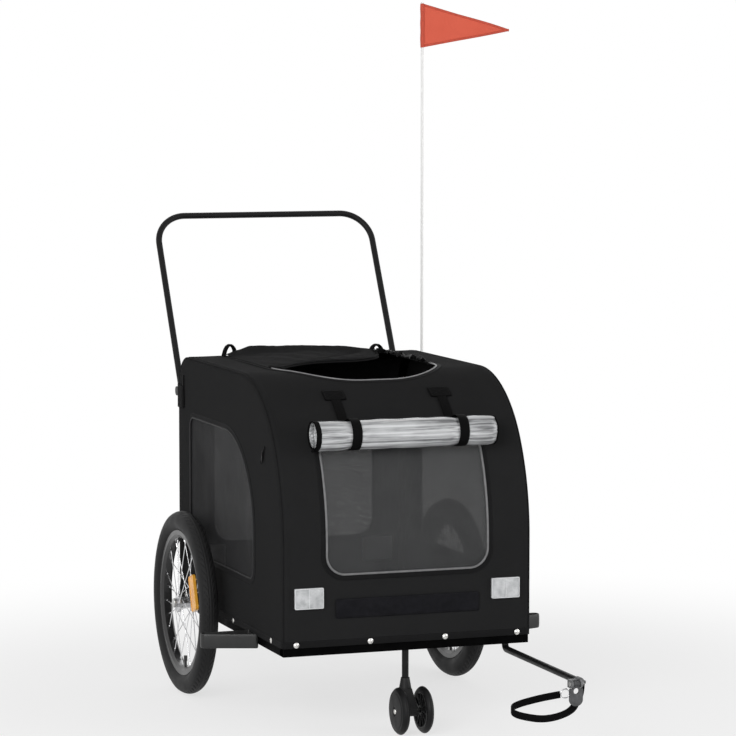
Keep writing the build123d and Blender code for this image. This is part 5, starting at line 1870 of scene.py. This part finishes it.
def casterRibs(middle, sign):
    ribs = []
    for k in range(caster["ribs"]):
        a = 2 * math.pi * k / caster["ribs"]
        out = Vector((0, math.cos(a), math.sin(a)))
        side = Vector((0, -math.sin(a), math.cos(a)))
        ribs.append(sweepSection(
            [middle + out * r for r in (0.010, 0.014, 0.030, 0.0345)],
            [roundSection(w, 0.0015) for w in (0.0014, 0.0011, 0.0010, 0.0012)],
            [(out, side, Vector((sign, 0, 0)))] * 4,
        ))
    return ribs


def buildCaster():
    low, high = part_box("caster_wheels")
    centre, radius = (low + high) / 2, (high.z - low.z) / 2
    wide, inset, body = caster["wide"], caster["inset"], "caster_twin_wheels"
    x = (high.x - low.x) / 2 - wide / 2 - caster["dome"]
    rubber, caps = [], []
    for sign in (-1, 1):
        profile = [(sign * (x + a), r) for a, r in casterSection(radius, wide)]
        points, faces = spin(profile, centre, caster["turns"], closed=False)
        rubber.append((points, [face[::-1] for face in faces] if sign < 0 else faces))
        end = centre + Vector((sign * (x + wide / 2 + inset), 0, 0))
        caps.append(spinUpright(caster["cap"], end, (sign, 0, 0), 20))
        rubber += casterRibs(centre + Vector((sign * (x - wide / 2 + inset), 0, 0)), sign)
    line = [centre + Vector((a, 0, 0)) for a in (-x, -0.0101, 0.0101, x)]
    piece = addPiece("caster_twin_discs", join(*rubber), "caster_rubber", body)
    addPiece("caster_axle_caps", join(*caps), "snap_metal", body)
    shaft = tube(line, caster["axle"], 16, up=(0, 0, 1))
    addPiece("caster_shaft", shaft, "axle_steel", body)
    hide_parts("caster_wheels")


makeFinish(
    "caster_rubber", (0.0075, 0.0075, 0.0080), (0.0110, 0.0110, 0.0115), (0.38, 0.54),
    grain=(1200.0, 45.0, 0.00006), wear=(0.08, (0.02, 0.02, 0.02)), dust=0.01, specular=0.14,
)
makeFinish(
    "axle_steel", (0.42, 0.42, 0.41), (0.55, 0.55, 0.54), (0.24, 0.40),
    metal=1.0, grain=(900.0, 50.0, 0.00003),
    streak=((8.0, 600.0, 600.0), 0.6), wear=(0.2, (0.7, 0.7, 0.69)), dust=0.04,
)
buildCaster()
print("guards and caster built")

# Push handle: one smooth bent tube with a pivot boss on each leg
handle = {
    "corner": 0.070,
    "tube": 0.007,
    "boss": [(-0.0080, 0.0041), (-0.0080, 0.0080), (-0.0070, 0.0090), (0.0070, 0.0090),
             (0.0080, 0.0080), (0.0080, 0.0041)],
    "pivotBack": 0.017,
    "pivotUp": 0.010,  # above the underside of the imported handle
    "pivotIn": 0.008,  # in from its side
}


def bendHandle():
    low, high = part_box("push_handle")
    half = (high.x - low.x) / 2 - handle["pivotIn"]
    pivot = Vector((0, cabin["rear"] + handle["pivotBack"], low.z + handle["pivotUp"]))
    top = Vector((0, high.y - handle["tube"], high.z - handle["tube"]))
    leg = (top - pivot).length
    corners = [(-half, -0.001), (-half, leg), (half, leg), (half, -0.001)]
    flat = filleted(corners, (0.001, handle["corner"], handle["corner"], 0.001), 0.003)
    lean = (top - pivot).normalized()
    flat = [p for p in flat if p[1] > 0.0 or abs(abs(p[0]) - half) < 1e-4]
    start = max(range(len(flat)), key=lambda i: math.dist(flat[i], flat[(i + 1) % len(flat)]))
    flat = flat[start + 1:] + flat[:start + 1]
    points = [Vector((middleX + x, 0, 0)) + pivot + lean * max(t, 0.0) for x, t in flat]
    bar = tube(points, handle["tube"], 28, up=(0, 1, 0.2))
    bosses = [spin(handle["boss"], (middleX + sign * half, pivot.y, pivot.z), 40) for sign in (-1, 1)]
    piece = addPiece("push_handle_tube", bar, "handle_steel", "handle")
    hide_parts("push_handle")
    return bosses


makeFinish(
    "handle_steel", (0.0050, 0.0050, 0.0053), (0.0072, 0.0072, 0.0075), (0.36, 0.50),
    grain=(800.0, 30.0, 0.00005), wear=(0.08, (0.04, 0.04, 0.04)), dust=0.01, specular=0.15,
)
pivotBosses = bendHandle()
print("push handle bent")

# Pennant: a light cloth with sewn hems and a sleeve on the pole
pennant = {
    "grid": 0.005,
    "drop": 0.059,
    "reach": 0.2195,
    "wave": (0.0085, 0.17),
    "hem": 0.006,
    "sleeve": 0.0044,
    "cloth": 0.0006,
}


def flutter(u, v, foot):
    # how far the cloth stands off the plane of the pole, more towards its tip
    tall, long = pennant["wave"]
    share = u / pennant["reach"]
    drift = tall * share * (np.sin(2 * math.pi * (u - 0.25 * (v - foot)) / long) - 0.25 * share)
    return drift + 0.0008 * ripples(u, v, 0.05, 91) * fade(u, 0.02)


def hemPennant(place, foot, top, tip, middle):
    # hem tape on the two free edges, which follows the cloth
    runs = []
    for start in ((0.004, foot + 0.0012), (0.004, top - 0.0012)):
        t = np.linspace(0.0, 0.955, 90)
        u, v = start[0] + (tip[0] - start[0]) * t, start[1] + (tip[1] - start[1]) * t
        inset = np.where(v > middle, -1, 1) * pennant["hem"] / 2
        v = v + (inset if start[1] < tip[1] else -np.abs(inset))
        spots = [Vector(p) for p in place(u, v)]
        runs.append(band(spots, [Vector((0, -1, 0))] * len(spots), pennant["hem"] * 0.8, 0.0022))
    return addPiece("pennant_hem", join(*runs), "flag_hem")


def flyPennant():
    foot, top = (corner.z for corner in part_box("flag_pennant"))
    low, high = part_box("flag_pole")
    x, y = (low.x + high.x) / 2, (low.y + high.y) / 2
    radius = pennant["sleeve"]

    def place(u, v):
        return np.stack([x + radius * 0.4 + u, y + flutter(u, v, foot), v], axis=-1)

    tip = (pennant["reach"], top - pennant["drop"])
    outline = evenly([(0.0, foot), tip, (0.0, top)], 0.0025)
    u, v, faces = cutSheet((0.0, foot), (tip[0], top), pennant["grid"], outer=outline)
    piece = addPiece("pennant_cloth", (place(u, v), faces), "flag_cloth",
                     uv=np.stack([u, v], axis=1))
    thicken(piece, pennant["cloth"])
    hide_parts("flag_pennant")
    hem = hemPennant(place, foot, top, tip, v.mean())
    # the sleeve goes round the pole
    rings = np.linspace(foot, top, 40)
    line = [Vector((x, y, z)) for z in rings]
    sections = [circle(radius + w, 20) for w in 0.0003 * np.sin(rings * 190.0)]
    sleeve = sweepSection(line, sections, framesAlong(line, False, (1, 0, 0)))
    cuff = addPiece("pennant_sleeve", sleeve, "flag_hem")


makeFinish(
    "flag_cloth", (0.70, 0.108, 0.062), (0.76, 0.138, 0.082), (0.62, 0.76),
    weave=(0.0009, 0.00005), dust=0.0, cloth=True, specular=0.2,
)
makeFinish(
    "flag_hem", (0.56, 0.084, 0.050), (0.62, 0.102, 0.062), (0.62, 0.76), weave=(0.0009, 0.00008), dust=0.0,
    specular=0.2,
)
flyPennant()
print("pennant sewn")

# Finishes for the CAD pieces that stay as they are
# black steel, partly painted shade: the frame is set far darker than the other black steel, with almost no
# sheen, so it reads as the shade it lies in
makeFinish(
    "frame_steel", (0.0010, 0.0010, 0.0011), (0.0018, 0.0018, 0.0019), (0.42, 0.58),
    grain=(900.0, 30.0, 0.00005), wear=(0.05, (0.01, 0.01, 0.01)), dust=0.0, specular=0.015,
)
makeFinish(
    "arm_steel", (0.0032, 0.0032, 0.0034), (0.0050, 0.0050, 0.0053), (0.36, 0.50),
    grain=(900.0, 30.0, 0.00005), wear=(0.10, (0.06, 0.06, 0.06)), dust=0.01, specular=0.2,
)
makeFinish(
    "black_plastic", (0.0060, 0.0060, 0.0064), (0.0090, 0.0090, 0.0094), (0.40, 0.56),
    grain=(1200.0, 45.0, 0.00007), wear=(0.08, (0.03, 0.03, 0.03)), dust=0.01, specular=0.25,
)
makeFinish(
    "rim_black", (0.0075, 0.0075, 0.0080), (0.0110, 0.0110, 0.0115), (0.26, 0.40),
    grain=(700.0, 26.0, 0.00004), wear=(0.10, (0.06, 0.06, 0.06)), dust=0.02, coat=(0.2, 0.15),
)
makeFinish(
    "hub_metal", (0.46, 0.46, 0.47), (0.60, 0.60, 0.61), (0.22, 0.36),
    metal=1.0, grain=(900.0, 50.0, 0.00003),
    streak=((500.0, 12.0, 12.0), 0.5), wear=(0.2, (0.75, 0.75, 0.75)), dust=0.04,
)
makeFinish(
    "spoke_steel", (0.62, 0.62, 0.63), (0.76, 0.76, 0.77), (0.18, 0.30),
    metal=1.0, grain=(1500.0, 60.0, 0.00002), streak=((400.0, 20.0, 20.0), 0.5), dust=0.02,
)
makeFinish(
    "cast_metal", (0.052, 0.053, 0.055), (0.088, 0.089, 0.092), (0.42, 0.60),
    metal=0.3, grain=(1500.0, 90.0, 0.00012), wear=(0.25, (0.20, 0.20, 0.21)), dust=0.02, specular=0.3,
)
makeFinish(
    "coupler_metal", (0.105, 0.107, 0.110), (0.155, 0.157, 0.160), (0.38, 0.55),
    metal=0.4, grain=(1500.0, 90.0, 0.00010), wear=(0.25, (0.30, 0.30, 0.31)), dust=0.02, specular=0.4,
)
makeFinish(
    "pole_fibre", (0.74, 0.74, 0.73), (0.84, 0.84, 0.83), (0.22, 0.34), streak=((300.0, 300.0, 6.0), 0.7),
    grain=(1200.0, 60.0, 0.00003), dust=0.0, coat=(0.3, 0.1),
)

addPiece("push_handle_bosses", join(*pivotBosses), "black_plastic", "handle")
bareNodes = {
    "frame_steel": [
        "frame_front_tube", "frame_rear_tube", "frame_left_rail", "frame_right_rail", "axle_cross_tube",
        "middle_cross_tube", "left_hoop", "right_hoop", "roof_cross_tubes", "left_axle_bracket",
        "right_axle_bracket",
    ],
    "handle_steel": ["caster_post", "handle_brackets"],
    "arm_steel": ["tow_arm"],
    "black_plastic": ["caster_fork", "flag_socket"],
    "piping_black": ["handle_knobs"],
    "rim_black": ["left_rim", "right_rim"],
    "hub_metal": ["left_hub", "right_hub"],
    "spoke_steel": ["left_spokes", "right_spokes", "strap_ring"],
    "axle_steel": ["left_axle", "right_axle", "hitch_pin"],
    "cast_metal": ["hitch_plate"],
    "coupler_metal": ["coupler"],
    "pole_fibre": ["flag_pole"],
}
for finishName, names in bareNodes.items():
    for nodeName in names:
        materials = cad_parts[nodeName].data.materials
        if not len(materials):
            materials.append(None)
        for spot in range(len(materials)):
            materials[spot] = finishes[finishName]
print("CAD pieces finished")

# Sleeves of cover fabric where the push handle's legs go into the cabin's rear corners
sleeve = {
    "heights": (0.612, 0.664),
    "slitTop": 0.686,
    "side": 0.032,
    "rear": 0.014,
    "lift": 0.0012,
    "thick": 0.0022,
    "slit": (0.0405, 0.0495),  # how far ahead of the cabin's rear
    "slitLift": 0.0012,
    "slitThick": 0.0012,
}


def roundCorner(sign, s, d, lift):
    # across a rear corner: s below 0 on the side, then round the corner, then on the rear
    r = cabin["edgeRound"]
    turn = np.clip(s / r, 0, math.pi / 2)
    past = np.clip(s - r * math.pi / 2, 0, None)
    before = np.clip(-s, 0, None)
    x = cabin["half"] - r + (r + lift) * np.cos(turn) - past
    drop = -r + (r + lift) * np.sin(turn) - before
    return skin(sign * x, d, drop)


def bindSleeves():
    low, high = sleeve["heights"]
    top, foot = atRearHeight(high), atRearHeight(low)
    wide = cabin["edgeRound"] * math.pi / 2 + sleeve["rear"]
    lift, thick = sleeve["lift"], sleeve["thick"]
    for side, sign in bothSides:
        def place(u, v, lift, sign=sign):
            return roundCorner(sign, u, v, lift)

        def placeSlit(u, v, lift, sign=sign):
            x = middleX + sign * (cabin["half"] + sleeve["slitLift"])
            return np.stack([x + sign * (lift + 0 * u), u, v], axis=-1)

        corner, end = (-sleeve["side"], top), (wide, foot)
        patch(f"{side}_handle_sleeve", corner, end, place, lift, thick, "cover_fabric", "cover_fabric",
              grid=0.003, flip=sign > 0)
        boxStitch(f"{side}_handle_sleeve_stitches", corner, end, place, lift + thick, cross=False)
        # the slit ahead of it is bound in dark tape
        near, far = (cabin["rear"] - reach for reach in sleeve["slit"])
        patch(f"{side}_handle_slit", (far, low), (near, sleeve["slitTop"]), placeSlit, 0.0,
              sleeve["slitThick"], "webbing", "webbing", grid=0.003, flip=sign < 0)


bindSleeves()

# Patches inside the rear panel behind the rear reflectors; their near-white colour is painted light, for the
# light that shines through there
backing_painted_light = {"x": (0.164, 0.235), "z": (0.243, 0.297), "behind": 0.0042, "thick": 0.0012}


def backReflectors():
    near, far = atRearHeight(backing_painted_light["z"][1]), atRearHeight(backing_painted_light["z"][0])
    for side, sign in bothSides:
        left, right = sorted(sign * x for x in backing_painted_light["x"])
        patch(f"{side}_reflector_backing", (left, near), (right, far), skin, -backing_painted_light["behind"],
              backing_painted_light["thick"], "backing_painted_light", "webbing")


# painted light: near white, so the patch shows as the light through the panel in the dark cabin
makeFinish(
    "backing_painted_light", (0.74, 0.74, 0.75), (0.84, 0.84, 0.85), (0.6, 0.75), weave=(0.0011, 0.0001), dust=0.01,
    cloth=True, specular=0.15,
)
backReflectors()

# A short zip on the side near the nose, with its pull hanging
nosePull = {"at": (-0.452, 0.590), "run": 0.036, "width": 0.009, "pull": 5}


def sewNosePull():
    y, z = nosePull["at"]
    x = middleX - cabin["half"] - 0.0006
    run = np.linspace(0, nosePull["run"], 16)
    points = [Vector((x, axleY + y + 0.75 * t, z - t)) for t in run]
    zipLine("nose", points, [Vector((-1, 0, 0))] * len(points), nosePull["width"], nosePull["pull"])


sewNosePull()
print("sleeves, backings and zip pull sewn")

# Floor pad: a thin quilted mattress on the frame's floor
pad = {
    "inset": 0.004,
    "corner": 0.022,
    "foam": 0.0062,
    "voxel": 0.006,
    "pressure": 4.0,
    "rise": 0.004,
    "channels": 5,
    "channel": (0.0034, 0.007),
    "grid": 0.009,
}


def padShape(low, high):
    inset = pad["inset"]
    corner, end = (low.x + inset, low.y + inset), (high.x - inset, high.y - inset)
    outline = roundedOutline(corner, end, (pad["corner"],) * 4, 0.004)
    u, v, faces = cutSheet(corner, end, pad["grid"], outer=outline)
    edge = nearestOn(outline, u, v)[0]
    top = low.z + 0.0012 + pad["foam"] * np.sqrt(fade(edge + 0.004, 0.016))
    return np.stack([u, v, top], axis=-1), faces


def swell(piece, floorHeight):
    # pressure fills the pad like wadding; what lies on the floor stays flat
    shell = piece.modifiers.new("voxels", "REMESH")
    shell.mode = "VOXEL"
    shell.voxel_size = pad["voxel"]
    applyModifiers(piece)
    start = np.empty(len(piece.data.vertices) * 3, dtype=np.float32)
    piece.data.vertices.foreach_get("co", start)
    cloth = piece.modifiers.new("swell", "CLOTH")
    cloth.settings.use_pressure = True
    cloth.settings.uniform_pressure_force = pad["pressure"]
    cloth.settings.effector_weights.gravity = 0.0
    cloth.point_cache.frame_start, cloth.point_cache.frame_end = 1, 20
    for step in range(1, 21):
        scene.frame_set(step)
    moved = np.empty_like(start)
    puffed = piece.evaluated_get(bpy.context.evaluated_depsgraph_get()).data
    puffed.vertices.foreach_get("co", moved)
    piece.modifiers.remove(cloth)
    scene.frame_set(1)
    start, moved = start.reshape(-1, 3), moved.reshape(-1, 3)
    step = moved - start
    long = np.linalg.norm(step, axis=1)[:, None]
    step *= np.minimum(1.0, pad["rise"] / np.maximum(long, 1e-9))
    step[:, :2] *= 0.4
    ends = start + step
    ends[:, 2] = np.maximum(ends[:, 2], floorHeight)
    piece.data.vertices.foreach_set("co", ends.astype(np.float32).ravel())
    piece.data.update()
    piece.modifiers.new("smooth", "SUBSURF").levels = 1
    applyModifiers(piece)


def applyModifiers(piece):
    mesh = bpy.data.meshes.new_from_object(piece.evaluated_get(bpy.context.evaluated_depsgraph_get()))
    piece.modifiers.clear()
    piece.data = mesh


def layPad():
    low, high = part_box("floor_panel")
    points, faces = padShape(low, high)
    piece = addPiece("floor_pad", (points, faces), "floor_pad")
    thicken(piece, pad["foam"])
    applyModifiers(piece)
    swell(piece, low.z + 0.0004)
    spots = np.empty(len(piece.data.vertices) * 3, dtype=np.float32)
    piece.data.vertices.foreach_get("co", spots)
    spots = spots.reshape(-1, 3)
    # sewn channels run the length of the pad
    depth, wide = pad["channel"]
    upper = fade(spots[:, 2] - low.z - 0.0020, 0.003)
    gap = (high.x - low.x) / pad["channels"]
    across = np.abs((spots[:, 0] - low.x) / gap - np.round((spots[:, 0] - low.x) / gap)) * gap
    inside = fade(np.minimum(spots[:, 0] - low.x, high.x - spots[:, 0]) - 0.03, 0.01)
    spots[:, 2] -= depth * np.exp(-((across / wide) ** 2)) * upper * inside
    spots[:, 2] += 0.0007 * ripples(spots[:, 0], spots[:, 1], 0.07, 95) * upper
    piece.data.vertices.foreach_set("co", spots.ravel())
    piece.data.update()
    piece.data.shade_smooth()
    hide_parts("floor_panel")
    # piping round the pad's edge
    inset = pad["inset"] - 0.001
    corner, end = (low.x + inset, low.y + inset), (high.x - inset, high.y - inset)
    outline = roundedOutline(corner, end, (pad["corner"],) * 4, 0.006)
    cord = tube([Vector((a, b, low.z + 0.0046)) for a, b in outline], 0.0020, 8, closed=True, up=(0, 0, 1))
    addPiece("floor_pad_piping", cord, "piping_black")


makeFinish(
    "floor_pad", (0.0135, 0.0136, 0.0142), (0.0185, 0.0186, 0.0192), (0.82, 0.94),
    weave=(0.0011, 0.00012), dust=0.01, specular=0.05,
)
layPad()
print("floor pad laid")
